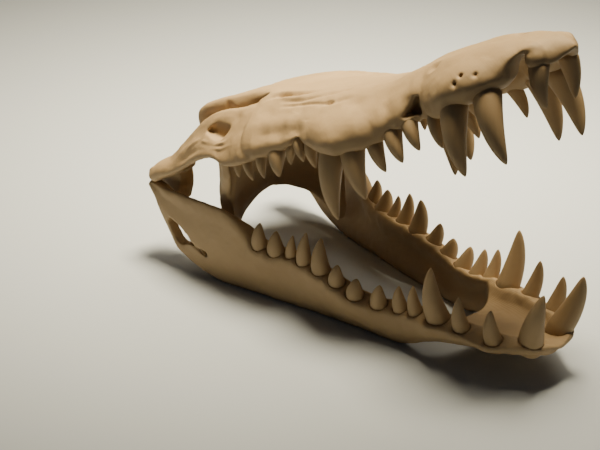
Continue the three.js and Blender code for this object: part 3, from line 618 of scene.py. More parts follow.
def mirrored(point: Point, side: float) -> Point:
    """A point of the left side, or its mirror image.

    Args:
        point: The point on the left side.
        side: 1 for the left side, −1 for the right.

    Returns:
        The point on that side.
    """
    x, y, z = point
    return (x, side * y, z)


def ball(name: str, centre: Point, radii: Point) -> Clay:
    """An egg shape.

    Formula: centre + (rx·cos a, ry·sin a·cos b, rz·sin a·sin b), a from 0 to π, b round the x axis.

    Args:
        name: Name of the solid.
        centre: Its centre.
        radii: Its radii along x, y and z.

    Returns:
        The solid.
    """
    a = np.linspace(0.02, np.pi - 0.02, 28)[:, None]
    b = np.linspace(0.0, 2.0 * np.pi, 40, endpoint=False)[None, :]
    x = radii[0] * np.cos(a) + 0.0 * b
    y = radii[1] * np.sin(a) * np.cos(b)
    z = radii[2] * np.sin(a) * np.sin(b)
    return skin(name, np.stack([x, y, z], axis=-1) + np.array(centre))


def both_sides(make: Callable[[str, float], Clay], name: str) -> list[Clay]:
    """Makes a solid for the left side and its mirror image for the right.

    Args:
        make: Function of a name and a side (1 left, −1 right) that returns the solid.
        name: Name of the solids.

    Returns:
        Both solids.
    """
    return [make(f"{name}_left", 1.0), make(f"{name}_right", -1.0)]


# ---- reliefs ----


def value_noise(points: np.ndarray, size: float, seed: int) -> np.ndarray:
    """Smooth random height between −1 and 1 that changes over about one size.

    Formula: random values at the corners of a lattice that repeats after a number of cells, blended
    inside each cell by 3t² − 2t³ along each axis.

    Args:
        points: Points, one row each.
        size: Size of a cell.
        seed: Seed of the random values.

    Returns:
        The height of each point.
    """
    cells = 32
    table = np.random.default_rng(seed).uniform(-1.0, 1.0, (cells, cells, cells))
    scaled = points / size + 1000.0
    cell = np.floor(scaled).astype(int)
    t = scaled - cell
    t = t * t * (3.0 - 2.0 * t)
    total = np.zeros(len(points))
    for corner in np.ndindex(2, 2, 2):
        weight = np.prod(np.where(np.array(corner) == 1, t, 1.0 - t), axis=1)
        x, y, z = ((cell + np.array(corner)) % cells).T
        total += weight * table[x, y, z]
    return total


def folded(points: np.ndarray, side: float) -> np.ndarray:
    """Points brought to one side of the middle plane, those of the other side as their mirror images.

    Args:
        points: Points, one row each.
        side: 1 for the left side, −1 for the right.

    Returns:
        The points, with y = side · |y|.
    """
    return points * np.array([1.0, 0.0, 1.0]) + np.abs(points) * np.array([0.0, side, 0.0])


class Mark:
    """Something raised on or sunk into a bone, the same on both sides of the skull."""

    def height(self, points: np.ndarray) -> np.ndarray:
        """Gives how far the mark raises each point.

        Args:
            points: Points of the bone, in millimetres, one row each.

        Returns:
            The heights, in millimetres, below zero where the bone is sunk.
        """
        raise NotImplementedError


@dataclass(frozen=True)
class Furrow(Mark):
    """A rounded furrow along a line; a negative depth is a ridge.

    Formula: height = −depth · exp(−(d/width)²) · e, with d the distance to the line and e falling
    from 1 to 0.15 over the last share of its length at both ends.
    """

    line: tuple[Point, ...]
    width: float
    depth: float
    fade: float = 0.25

    def height(self, points: np.ndarray) -> np.ndarray:
        """Gives how far the furrow raises each point, as in Mark."""
        path = np.array(self.line, float)
        steps = np.diff(path, axis=0)
        lengths = np.linalg.norm(steps, axis=1)
        starts = np.concatenate([[0.0], np.cumsum(lengths)[:-1]]) / lengths.sum()
        right = folded(points, -1.0)
        nearest = np.full(len(points), np.inf)
        place = np.zeros(len(points))
        for start, step, length, before in zip(path[:-1], steps, lengths, starts):
            t = np.clip((right - start) @ step / length**2, 0.0, 1.0)
            distance = np.linalg.norm(right - start - t[:, None] * step, axis=1)
            closer = distance < nearest
            nearest = np.where(closer, distance, nearest)
            place = np.where(closer, before + t * length / lengths.sum(), place)
        ends = np.clip(np.minimum(place, 1.0 - place) / self.fade, 0.0, 1.0)
        return -self.depth * np.exp(-((nearest / self.width) ** 2)) * (0.15 + 0.85 * ends)


@dataclass(frozen=True)
class Dent(Mark):
    """An egg-shaped dent, with a raised rim round it where lip is above 0.

    Formula: height = −depth · exp(−q²) + lip · exp(−((q − 1.7)/0.5)²), with q the distance from the
    centre measured in radii. A negative depth is a swelling.
    """

    centre: Point
    radii: Point
    depth: float
    lip: float = 0.0

    def height(self, points: np.ndarray) -> np.ndarray:
        """Gives how far the dent raises each point, as in Mark."""
        q = np.linalg.norm((folded(points, -1.0) - np.array(self.centre)) / np.array(self.radii), axis=1)
        rim = self.lip * np.exp(-(((q - 1.7) / 0.5) ** 2))
        return -self.depth * np.exp(-(q**2)) + rim


@dataclass(frozen=True)
class Socket(Mark):
    """The bone round a tooth: a raised collar and the swelling over the root.

    Formula: with q the distance from the tooth's axis in root radii and s the way along it from the
    base, height = ring·exp(−((q − 1.35)/0.3)²) within reach of the base, + swell·exp(−q²)
    ·exp(−((s + deep)/deep)²) on the outer face.
    """

    base: Point
    tip: Point
    radius: float
    ring: float = 0.35
    swell: float = 0.9
    deep: float = 6.0

    def height(self, points: np.ndarray) -> np.ndarray:
        """Gives how far the bone round the tooth is raised at each point, as in Mark."""
        axis = np.array(self.tip, float) - np.array(self.base, float)
        axis /= np.linalg.norm(axis)
        from_base = folded(points, 1.0) - np.array(self.base)
        along = from_base @ axis
        away = from_base - along[:, None] * axis
        q = np.linalg.norm(away, axis=1) / self.radius
        near = np.exp(-((along / (1.1 * self.radius)) ** 4))
        collar = self.ring * np.exp(-(((q - 1.35) / 0.3) ** 2))
        outer = np.exp(-((away[:, 0] / (0.85 * self.radius)) ** 2)) * (away[:, 1] > 0.0)
        root = self.swell * outer * np.exp(-(((along + self.deep) / self.deep) ** 2))
        close = np.exp(-((np.maximum(q - 2.2, 0.0) / 1.2) ** 2))
        return near * collar + root * close


@dataclass(frozen=True)
class Relief:
    """All that is raised on or sunk into a bone, with the fine unevenness of the print."""

    marks: tuple[Mark, ...]
    unevenness: float = 0.2
    seed: int = SEED

    def height(self, points: np.ndarray) -> np.ndarray:
        """Adds up the marks and three sizes of noise.

        Args:
            points: Points of the bone, in millimetres.

        Returns:
            The height of each, in millimetres.
        """
        total = np.zeros(len(points))
        for number, (size, share) in enumerate(NOISES):
            total += share * self.unevenness * value_noise(points, size, self.seed + number)
        for mark in self.marks:
            total += mark.height(points)
        return total


# Size of each noise and its share of the unevenness.
NOISES = ((9.0, 1.0), (4.0, 0.6), (1.8, 0.35))

SKULL_MARKS = (
    Furrow(((28, -28, 24.5), (40, -28.5, 23.5), (54, -29.5, 23.6)), 2.6, 1.6),
    Furrow(((84, -29.8, 20.8), (89, -27.7, 21.2), (93.5, -26.1, 21.1), (99, -25.3, 20), (106, -24, 18.7),
            (111, -21.4, 17.9), (116, -19.7, 16.8)), 1.3, 1.5),
    Furrow(((86, -25.6, 23), (95, -23.4, 22), (104, -21.6, 20), (111, -18.6, 18.8)), 1.6, -0.8),
    Furrow(((97, -30.4, 17.6), (109, -28.6, 15.3), (115, -26.6, 14.7), (121, -24.2, 14.5),
            (129, -21.6, 13.4)), 1.1, 1.0),
    Furrow(((94, -28.6, 19.4), (104, -27.4, 17.4), (112, -25, 16.4)), 1.3, -0.8),
    Furrow(((98, -33, 15.8), (110.6, -30.7, 13.6), (117.4, -29.6, 12.2), (128, -28.4, 10)), 1.0, 0.9),
    Furrow(((100, -13, 22.6), (112, -11, 19.8), (124, -9.6, 17.4)), 1.1, 0.7),
    Furrow(((108, -16, 19.8), (120, -14, 17.2), (132, -12, 15)), 1.2, 0.6),
    Dent((94.6, -25.8, 20.9), (3.4, 1.8, 1.8), 1.2, 0.2),
    Dent((128, -28.4, 10.2), (2.2, 1.4, 1.2), 0.6, 0.2),
    Furrow(((119, -24, 15.6), (128, -20.5, 14), (136, -17, 13.2)), 1.6, 1.1),
    Furrow(((120, -30, 9.6), (132, -27.4, 9.6), (142, -24, 9.2)), 1.8, 0.9),
    Furrow(((84, -38, 15.6), (98, -36.5, 12.4), (112, -35, 8.6)), 4.5, 0.6),
    Furrow(((86, -46, 6), (100, -43.6, 4.2), (112, -41, 2.4), (120, -41.5, 0.4)), 4.2, 1.9),
    Dent((127, -28, 10.6), (3, 2.6, 2.6), 0.7),
    Dent((145, -28, 6), (6, 4, 5), 1.0),
    Dent((70.4, -38.3, 17.7), (3, 2.4, 2.4), 0.6),
    Dent((166, -29, -3), (3, 2.2, 4), 0.9),
    Dent((171, -27, -3.4), (2.4, 2.2, 3.4), 0.7),
    Dent((132, -42, 0), (12, 6, 7), -1.3),
    Dent((150, -38, -4), (8, 5, 6), -0.8),
    Dent((193.4, -18.6, 10.2), (3.0, 2.6, 2.0), 1.3, 0.2),
    Furrow(((47, -48, 12.4), (52, -48, 10.2), (58, -48, 7.7), (63.6, -47.4, 8), (68, -46, 11)), 0.9, -0.8),
    Furrow(((46, -49.4, 9.4), (54, -49.4, 6.6), (62, -49, 5.2), (69, -48.6, 6.2)), 0.9, -0.6),
    Furrow(((33, -49, 10), (39, -48.4, 12.6), (46, -47.4, 14)), 1.1, -0.8),
    Furrow(((47, -46, 17.4), (52, -43.6, 21), (60, -41.4, 22.4), (68, -41, 20)), 1.8, -0.9),
    Furrow(((22, -49, 8.2), (34, -47.6, 12), (44, -46.2, 15)), 2.2, -0.6),
    Furrow(((24, -50.8, 4.4), (36, -50.2, 7.2), (46, -50.2, 8.4)), 1.6, 0.6),
)
JAW_MARKS = (
    Furrow(((-60, -51, 18), (-54, -51.4, 12.6), (-44, -50.8, 10.4)), 2.2, -0.8),
    Furrow(((-45, -50.8, 17.6), (-39.5, -50.4, 15.6), (-34, -50, 13.8)), 0.9, 1.6, 0.1),
    Furrow(((-30, -47.5, 9), (0, -43.5, 9.5), (40, -36.5, 9)), 5.0, 0.5),
)


@dataclass(frozen=True)
class Bone:
    """A bone that is drawn at stations a step apart, remeshed with a voxel's size and thinned."""

    step: float
    voxel: float
    triangles: int

    def finished(self, whole: Clay, name: str, rounds: int, relief: Relief) -> Clay:
        """Smooths, embosses and thins the joined solid.

        Args:
            whole: The joined solid.
            name: Name that it gets.
            rounds: Rounds of smoothing.
            relief: What is raised on it or sunk into it.

        Returns:
            The solid itself.
        """
        whole.smooth(self.voxel, rounds).emboss(relief)
        whole.thing.name = name
        return whole.thin(self.triangles)


@dataclass(frozen=True)
class UpperSkull(Bone):
    """Muzzle, skull roof, cheeks, quadrates and pterygoid, grown together."""

    def muzzle(self) -> Clay:
        """Snout from the face to its tip.

        Formula: at each x a loop through crest, shoulder, flank, margin, tooth ridge and palate.

        Returns:
            The solid.
        """
        x = stations(MUZZLE_X, self.step)
        crest, shoulder_y, shoulder_z = CREST_Z(x), SHOULDER_Y(x), SHOULDER_Z(x)
        flank_y, flank_z, margin_z, ridge = FLANK_Y(x), FLANK_Z(x), MARGIN_Z(x), RIDGE_WIDTH(x)
        margin_y = flank_y - MARGIN_INSET(x)
        vault = np.maximum(PALATE_Z(x), margin_z + 0.3)
        out_y, out_z = flank_y - shoulder_y, flank_z - shoulder_z
        half = rows(x, [
            (0.0 * x, crest),
            (shoulder_y * 0.55, crest * 0.45 + shoulder_z * 0.55),
            (shoulder_y, shoulder_z),
            (shoulder_y + out_y * 0.45, shoulder_z + out_z * 0.3),
            (shoulder_y + out_y * 0.82, shoulder_z + out_z * 0.64),
            (flank_y, flank_z),
            (flank_y + 0.2, (flank_z + margin_z) / 2.0),
            (margin_y, margin_z),
            (margin_y - ridge * 0.5, margin_z),
            (margin_y - ridge * 0.92, margin_z * 0.8 + vault * 0.2),
            ((margin_y - ridge) * 0.86, vault * 0.85 + margin_z * 0.15),
            ((margin_y - ridge) * 0.5, vault),
            (0.0 * x, vault),
        ])
        return skin("muzzle", smooth_loops(both_halves(half), 5))

    def cranium(self) -> Clay:
        """Skull roof, the groove beside it and the cheek plates over their chambers.

        Formula: at each x a loop through table, groove, cheek and chamber, its middle moved ahead by
        the sweep: x + s·(1 − y/reach), s falling from the sweep's length to nothing.

        Returns:
            The solid.
        """
        x = stations(CRANIUM_X, self.step)
        table_y, table_z, groove_z, crest = TABLE_Y(x), TABLE_Z(x), GROOVE_Z(x), CREST_Z(x)
        top_y, top_z, low_y, low_z = CHEEK_TOP_Y(x), CHEEK_TOP_Z(x), CHEEK_LOW_Y(x), CHEEK_LOW_Z(x)
        chamber, case_y, case_z, bulge = CHAMBER_Z(x), BRAINCASE_Y(x), BRAINCASE_LOW_Z(x), CHEEK_BULGE(x)
        half = rows(x, [
            (0.0 * x, crest),
            (table_y * 0.6, (crest + table_z) / 2.0),
            (table_y - 1.0, table_z),
            (table_y + 1.0, table_z * 0.6 + groove_z * 0.4),
            (table_y + 2.5, groove_z),
            (top_y - 2.5, groove_z),
            (top_y - 0.6, top_z),
            (top_y * 0.6 + low_y * 0.4 + bulge, top_z * 0.62 + low_z * 0.38),
            (top_y * 0.25 + low_y * 0.75 + bulge, top_z * 0.3 + low_z * 0.7),
            (low_y, low_z),
            (low_y - CHEEK_THICKNESS, low_z + 0.4),
            (top_y + 0.5 - CHEEK_THICKNESS * 0.5, chamber),
            (case_y + 4.0, chamber),
            (case_y, chamber * 0.6 + case_z * 0.4),
            (case_y * 0.8, case_z),
            (0.0 * x, case_z),
        ])
        back = SWEEP_LENGTH * np.maximum(0.0, (SWEEP_END_X - x) / (SWEEP_END_X - CRANIUM_X[0]))
        half[..., 0] += back[:, None] * (1.0 - np.minimum(1.0, half[..., 1] / SWEEP_REACH_Y))
        return skin("cranium", smooth_loops(both_halves(half), 4))

    def quadrate(self, name: str, side: float) -> Clay:
        """Bar from the cheek to the jaw joint, with the round condyle, a wall and a web inside it.

        Args:
            name: Name of the solid.
            side: 1 for the left side, −1 for the right.

        Returns:
            The solid.
        """
        x = stations(QUADRATE_X, self.step)
        top, low, out, inner = QUADRATE_TOP_Z(x), QUADRATE_LOW_Z(x), QUADRATE_OUT_Y(x), QUADRATE_IN_Y(x)
        loops = rows(x, [(out, low + 1.0), (out - 2.0, low), (inner + 2.0, low), (inner, low + 1.0),
                         (inner, top - 1.5), (inner + 3.0, top), (out - 5.0, top),
                         (out, (top + low) / 2.0)])
        bar = skin(name, smooth_loops(loops * np.array([1.0, side, 1.0]), 5))
        bar.join(side_slab("quadrate_wall", QUADRATE_WALL, QUADRATE_WALL_Y, side))
        bar.join(side_slab("quadrate_web", QUADRATE_WEB, QUADRATE_WEB_Y, side))
        round_side = ring(CONDYLE, (CONDYLE_RADIUS, CONDYLE_RADIUS), 16)
        return bar.join(side_slab("condyle", round_side, CONDYLE_Y, side))

    def pterygoid(self) -> Clay:
        """Wall across the skull whose two flanges reach down between the jaws.

        Formula: at each y a loop in x and z from the low edge to the palate, front and back.

        Returns:
            The solid.
        """
        y = stations((-WING_REACH_Y, WING_REACH_Y), self.step)
        u = np.abs(y)
        low_z, low_x, depth = WING_LOW_Z(u), WING_LOW_X(u), WING_LOW_DEPTH(u)
        back, front, top = WING_BACK_X(u), WING_FRONT_X(u), WING_TOP_Z + 0.0 * u
        pairs = [(low_x, low_z + 2.0), (low_x + depth * 0.4, low_z), (low_x + depth, low_z + 1.5),
                 (low_x + depth + (front - low_x - depth) * 0.35, low_z * 0.5), (front, top), (back, top),
                 (back * 0.3 + low_x * 0.7, low_z * 0.45)]
        loops = np.stack([np.stack([px, y, pz], axis=1) for px, pz in pairs], axis=1)
        return skin("pterygoid", smooth_loops(loops, 4))

    def build(self) -> Clay:
        """Joins the bones, cuts their openings and embosses the whole.

        Returns:
            The finished bone, in the skull's frame.
        """
        whole = self.cranium()
        whole.join(self.muzzle())
        for bone in both_sides(self.quadrate, "quadrate"):
            whole.join(bone)
        whole.join(self.pterygoid())
        whole.join(ball("occipital_condyle", *OCCIPITAL_CONDYLE))
        for side in (1.0, -1.0):
            for name, outline, low, high in (
                ("orbit", ORBIT, ORBIT_LOW_Z, FAR_UP),
                ("palate_window", PALATE_WINDOW, -FAR_UP, PALATE_WINDOW_TOP_Z),
            ):
                whole.cut(slab(name, tuple((x, side * y) for x, y in outline), low, high, Push.PLAN))
            whole.cut(side_slab("cheek_hole", CHEEK_HOLE, (CHEEK_HOLE_IN_Y, FAR_SIDE), side))
            whole.cut(side_slab("snout_notch", SNOUT_NOTCH, (SNOUT_NOTCH_IN_Y, FAR_SIDE), side))
            for place in FORAMINA:
                whole.cut(ball("foramen", mirrored(place, side), FORAMEN_RADII))
            lip_place, lip_radii = TOOTH_LIP
            whole.join(ball("tooth_lip", mirrored(lip_place, side), lip_radii))
        whole.cut(ball("nostril", *NOSTRIL))
        whole.cut(ball("choana", *CHOANA))
        whole.cut(ball("foramen_magnum", *FORAMEN_MAGNUM))
        sockets = tuple(Socket(*tooth, ring=0.05 * tooth[2], swell=0.14 * tooth[2])
                        for tooth in UPPER_TEETH)
        return self.finished(whole, "upper_skull", 12, Relief(SKULL_MARKS + sockets))


@dataclass(frozen=True)
class LowerJaw(Bone):
    """Both sides of the lower jaw and the chin that joins them."""

    def ramus(self, name: str, side: float) -> Clay:
        """One side of the jaw from the joint to the chin.

        Formula: at each x a loop through keel, outer face, tooth rim and inner face.

        Args:
            name: Name of the solid.
            side: 1 for the left side, −1 for the right.

        Returns:
            The solid.
        """
        x = stations(RAMUS_X, self.step)
        keel_y, keel_z, rim_y, rim_z = KEEL_Y(x), KEEL_Z(x), RIM_Y(x), RIM_Z(x)
        inner_z, width = INNER_Z(x), RIM_WIDTH(x)
        height, inner_height = rim_z - keel_z, inner_z - keel_z
        pairs = [(keel_y, keel_z), (keel_y + 1.6, keel_z + height * 0.1),
                 (keel_y + (rim_y - keel_y) * 0.55 + 1.6, keel_z + height * 0.42),
                 (rim_y, keel_z + height * 0.76), (rim_y, keel_z + height * 0.94), (rim_y - 1.4, rim_z),
                 (rim_y - width * 0.55, (rim_z + inner_z) / 2.0), (rim_y - width + 1.4, inner_z),
                 (rim_y - width, keel_z + inner_height * 0.93),
                 (rim_y - width + 1.4, keel_z + inner_height * 0.6),
                 (keel_y - KEEL_WIDTH - 1.4, keel_z + inner_height * 0.22), (keel_y - KEEL_WIDTH, keel_z)]
        loops = rows(x, pairs) * np.array([1.0, side, 1.0])
        return skin(name, smooth_loops(loops, 5))

    def chin(self) -> Clay:
        """Both sides grown together under a dished shelf.

        Formula: at each x a loop through shelf, tooth rim, outer face, keel and belly.

        Returns:
            The solid.
        """
        x = stations(CHIN_X, self.step)
        keel_y, keel_z, rim_y, rim_z = KEEL_Y(x), KEEL_Z(x), RIM_Y(x), RIM_Z(x)
        inner_z, width, shelf = INNER_Z(x), RIM_WIDTH(x), SHELF_Z(x)
        height = rim_z - keel_z
        inner = np.maximum(rim_y - width, 0.1)
        bulge = np.minimum(1.6, width * 0.2)
        half = rows(x, [
            (0.0 * x, shelf),
            (inner * 0.5, shelf),
            (inner * 0.78, shelf * 0.72 + inner_z * 0.28),
            (inner + 0.2, shelf * 0.12 + inner_z * 0.88),
            (rim_y - width * 0.55, (inner_z + rim_z) / 2.0),
            (rim_y - np.minimum(1.4, width * 0.2), rim_z),
            (rim_y, keel_z + height * 0.94),
            (rim_y, keel_z + height * 0.76),
            (keel_y + (rim_y - keel_y) * 0.55 + bulge, keel_z + height * 0.42),
            (keel_y + bulge, keel_z + height * 0.1),
            (keel_y, keel_z),
            (np.maximum(keel_y - KEEL_WIDTH, keel_y * 0.6), keel_z),
            (keel_y * 0.3, keel_z + BELLY_RISE),
            (0.0 * x, keel_z + BELLY_RISE),
        ])
        return skin("chin", smooth_loops(both_halves(half), 5))

    def build(self) -> Clay:
        """Joins both sides to the chin, cuts the windows and joint sockets and embosses the whole.

        Returns:
            The finished bone, in the jaw's frame.
        """
        whole = self.chin()
        notch = ring((CHIN_NOTCH_X, 0.0), CHIN_NOTCH_RADII, 24)
        whole.cut(slab("chin_notch", notch, -10.0, FAR_UP, Push.PLAN))
        for bone in both_sides(self.ramus, "ramus"):
            whole.join(bone)
        radius = CONDYLE_RADIUS + JOINT_GAP
        pin_x, _, pin_z = placed(np.array([[CONDYLE[0], 0.0, CONDYLE[1]]]), Frame.SKULL)[0]
        socket = ring((pin_x + MIDDLE_X, pin_z), (radius, radius), 24)
        for side in (1.0, -1.0):
            whole.cut(side_slab("jaw_window", JAW_WINDOW, (JOINT_IN_Y, FAR_SIDE), side))
            whole.cut(side_slab("joint_socket", socket, (JOINT_IN_Y, FAR_SIDE), side))
        sockets = tuple(Socket(*tooth, swell=0.5 if tooth is not MANDIBLE_TEETH[-1] else 0.1)
                        for tooth in MANDIBLE_TEETH)
        self.finished(whole, "lower_jaw", 10, Relief(JAW_MARKS + sockets, seed=SEED + 5))
        return whole.cut(teeth("sockets", MANDIBLE_TEETH, SOCKET_SHAPE))


def stations(ends: tuple[float, float], step: float) -> np.ndarray:
    """Evenly spaced places from one end to the other.

    Args:
        ends: The first and the last place.
        step: How far apart they are at most.

    Returns:
        The places.
    """
    low, high = ends
    return np.linspace(low, high, int(np.ceil((high - low) / step)) + 1)


@dataclass(frozen=True)
class ToothShape:
    """How the teeth of a piece taper and bend.

    point and taper are the powers of the radius' formula, bow a share of the length, flat the
    thickness as a share of the width. The root goes into the jaw by a share of the radius, and ends
    that share of the radius wide. wider is added to the radius, in millimetres, and reach is how much
    of the length is made.
    """

    point: float = 1.3
    taper: float = 0.62
    bow: float = 0.08
    flat: float = 0.94
    root: float = 0.9
    root_width: float = 0.8
    wider: float = 0.0
    reach: float = 1.0
    rings: int = 28
    around: int = 30


def tooth_grid(base: Point, tip: Point, radius: float, side: float, shape: ToothShape) -> np.ndarray:
    """Points of one curved conical tooth.

    Formula: centre(t) = base + t·(tip − base) + 4·bow·t(1 − t)·length·outward, outward being the way
    from base to tip seen from above, turned out of the mouth; the radius is r·(1 − t^point)^taper,
    with t from below 0 in the jaw, where the root narrows, to nearly 1 at the blunt tip.

    Args:
        base: Middle of the tooth where it leaves the jaw.
        tip: Its tip.
        radius: Its radius at the base.
        side: 1 for the left side, −1 for the right.
        shape: Shares that all teeth have in common.

    Returns:
        Points, shape (rings, around, 3).
    """
    turn = np.array([1.0, side, 1.0])
    start, end = np.array(base) * turn, np.array(tip) * turn
    axis = end - start
    length = float(np.linalg.norm(axis))
    across = np.cross(axis, [1.0, 0.0, 0.0])
    across /= np.linalg.norm(across)
    ahead = np.cross(across, axis) / length
    outward = np.array([0.5 * axis[0] / length, 0.4 * side + axis[1] / length, 0.0])
    outward /= np.linalg.norm(outward)
    above = shape.reach * (1.0 - np.linspace(1.0, 0.02, shape.rings) ** 2)
    deep = shape.root * radius / length
    t = np.concatenate([[-deep, -0.6 * deep], above])[:, None, None]
    a = np.linspace(0.0, 2.0 * np.pi, shape.around, endpoint=False)[None, :, None]
    rise = np.clip(t, 0.0, 1.0)
    centre = start + t * axis + 4.0 * shape.bow * rise * (1.0 - rise) * length * outward
    root = np.where(t < 0.0, 1.0 - (shape.root_width - 1.0) * t / deep, 1.0)
    size = radius * (1.0 - rise**shape.point) ** shape.taper * root + shape.wider
    return centre + size * (np.cos(a) * ahead + shape.flat * np.sin(a) * across)


def teeth(name: str, rows_of_teeth: tuple[tuple[Point, Point, float], ...], shape: ToothShape) -> Clay:
    """All teeth of one jaw, both sides, as one piece.

    Args:
        name: Name of the piece.
        rows_of_teeth: Base, tip and radius of each tooth of the right side.
        shape: Shares that all teeth have in common.

    Returns:
        The teeth, in the frame that the rows are drawn in.
    """
    grids = [tooth_grid(*tooth, side, shape) for tooth in rows_of_teeth for side in (1.0, -1.0)]
    count, around = grids[0].shape[:2]
    faces: list[tuple[int, ...]] = []
    for number, grid in enumerate(grids):
        one = loop_faces(count, around, number * count * around)
        outward = np.linalg.det(frame_of(grid)) > 0.0
        faces.extend(one if outward else [face[::-1] for face in one])
    return Clay(name, np.concatenate([grid.reshape(-1, 3) for grid in grids]), faces)


def frame_of(grid: np.ndarray) -> np.ndarray:
    """Three directions of a tooth, whose determinant tells which way its faces look.

    Args:
        grid: Points of the tooth, shape (rings, around, 3).

    Returns:
        From the middle of its root to the first point round, to the point a quarter turn on, and to
        the middle of its tip, one row each.
    """
    middle = grid[0].mean(axis=0)
    quarter = grid.shape[1] // 4
    return np.stack([grid[0, 0] - middle, grid[0, quarter] - middle, grid[-1].mean(axis=0) - middle])


SOCKET_SHAPE = ToothShape(root=0.35, root_width=1.0, wider=0.35, reach=0.12, rings=4)

# ---- finish ----


@dataclass(frozen=True)
class Plastic:
    """A matte printed plastic: its tones, gloss, the height of its layers in metres and its bumps.

    cloud and grain are how many clouds and grains lie on a metre, and deepest is the share of the dark
    tone in the darkest cloud.
    """

    base: tuple[float, float, float]
    dark: tuple[float, float, float]
    roughness: float
    layer: float
    glow: float
    cloud: float = 45.0
    grain: float = 900.0
    deepest: float = 0.35
    layer_bump: float = 0.3
    grain_bump: float = 0.12


class Finish(Enum):
    """Materials of the object."""

    BONE = Plastic((0.44, 0.305, 0.165), (0.33, 0.22, 0.11), 0.65, 0.00025, 0.02)


class Nodes:
    """Short ways to add shader nodes to a material."""

    def __init__(self, name: str) -> None:
        """Makes a material with an output and a principled shader.

        Args:
            name: Name of the material.
        """
        self.material = bpy.data.materials.new(name)
        self.material.use_nodes = True
        self.tree = self.material.node_tree
        self.shader = self.tree.nodes["Principled BSDF"]

    def add(self, kind: str, settings: dict[str, str] | None = None, **inputs: object) -> bpy.types.Node:
        """Adds a node.

        Args:
            kind: Blender's name for the node.
            settings: Its settings.
            inputs: What fill puts in.

        Returns:
            The node.
        """
        node = self.tree.nodes.new(kind)
        for name, value in (settings or {}).items():
            setattr(node, name, value)
        self.fill(node, **inputs)
        return node

    def fill(self, node: bpy.types.Node, **inputs: object) -> None:
        """Sets inputs of a node: a socket is linked, anything else is a value.

        Args:
            node: The node.
            inputs: Names of inputs with _ for a space, or _ and an input's number.
        """
        for name, value in inputs.items():
            key = int(name[1:]) if name[1:].isdigit() else name.replace("_", " ")
            if isinstance(value, bpy.types.NodeSocket):
                self.tree.links.new(value, node.inputs[key])
            else:
                node.inputs[key].default_value = value


def plastic(name: str, finish: Plastic, tilt: float) -> bpy.types.Material:
    """Printed plastic with cloudy tone and layer steps along the print's own up.

    Args:
        name: Name of the material.
        finish: Its tones and gloss.
        tilt: Angle in radians by which the print's up leans back about y.

    Returns:
        The material.
    """
    nodes = Nodes(name)
    place = nodes.add("ShaderNodeTexCoord").outputs["Object"]
    turned = nodes.add("ShaderNodeMapping", {"vector_type": "POINT"}, Vector=place,
                       Rotation=(0.0, tilt, 0.0))
    upright = nodes.add("ShaderNodeSeparateXYZ", _0=turned.outputs[0])
    cloud = nodes.add("ShaderNodeTexNoise", Vector=place, Scale=finish.cloud, Detail=4.0, Roughness=0.6)
    grain = nodes.add("ShaderNodeTexNoise", Vector=place, Scale=finish.grain, Detail=3.0, Roughness=0.6)
    tone = nodes.add("ShaderNodeMapRange", Value=cloud.outputs["Fac"], From_Min=0.3, From_Max=0.7,
                     To_Min=0.0, To_Max=finish.deepest)
    shade = nodes.add("ShaderNodeMix", {"data_type": "RGBA"}, _0=tone.outputs[0],
                      _6=(*finish.base, 1.0), _7=(*finish.dark, 1.0))
    layers = nodes.add("ShaderNodeMath", {"operation": "PINGPONG"}, _0=upright.outputs["Z"],
                       _1=finish.layer)
    height = nodes.add("ShaderNodeMath", {"operation": "MULTIPLY"}, _0=layers.outputs[0],
                       _1=1.0 / finish.layer)
    steps = nodes.add("ShaderNodeBump", Strength=finish.layer_bump, Distance=0.0002,
                      Height=height.outputs[0])
    grains = nodes.add("ShaderNodeBump", Strength=finish.grain_bump, Distance=0.0003,
                       Height=grain.outputs["Fac"], Normal=steps.outputs[0])
    nodes.fill(nodes.shader, Base_Color=shade.outputs[2], Roughness=finish.roughness,
               Normal=grains.outputs[0], Subsurface_Weight=finish.glow,
               Subsurface_Radius=(0.004, 0.002, 0.001))
    return nodes.material


def plain(name: str, colour: tuple[float, float, float], roughness: float) -> bpy.types.Material:
    """A plain matte material for the floor and backdrop.

    Args:
        name: Name of the material.
        colour: Its colour.
        roughness: Its roughness.

    Returns:
        The material.
    """
    nodes = Nodes(name)
    nodes.fill(nodes.shader, Base_Color=(*colour, 1.0), Roughness=roughness)
    return nodes.material


def settle(clay: Clay, drawn_in: Frame, material: bpy.types.Material, nodes: tuple[str, ...]) -> None:
    """Brings a finished solid into the frame of the whole, in metres, and hands it to the frame.

    Args:
        clay: The solid.
        drawn_in: The frame it is drawn in.
        material: Its material.
        nodes: Nodes of the part that it stands for.
    """
    mesh = clay.thing.data
    write_points(mesh, placed(read_rows(mesh.vertices, "co").astype(float), drawn_in) * MM)
    mesh.shade_smooth()
    mesh.materials.clear()
    mesh.materials.append(material)
    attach(clay.thing, "root")
    if nodes:
        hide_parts(*nodes)
    LOG.info("%s: %d faces", clay.thing.name, len(mesh.polygons))


# ---- surroundings ----


def stand(thing: bpy.types.Object, right: Point, up: Point, back: Point, place: Point) -> None:
    """Places a camera or lamp.

    Args:
        thing: The camera or lamp, which looks along its own −z.
        right: The way its own x goes.
        up: The way its own y goes.
        back: The way its own z goes.
        place: Where it stands, in metres.
    """
    matrix = np.eye(4)
    matrix[:3] = np.column_stack([right, up, back, place])
    thing.matrix_world = Matrix(matrix.tolist())


@dataclass(frozen=True)
class Viewpoint:
    """Where the camera stands and which ways it looks, in millimetres from the jaw frame's origin."""

    place: Point = (543.7, -515.5, 360.7)
    right: Point = (0.67761, 0.73542, -0.00024)
    up: Point = (-0.29866, 0.27548, 0.91374)
    back: Point = (0.67205, -0.61908, 0.40631)
    lens: float = 93.6


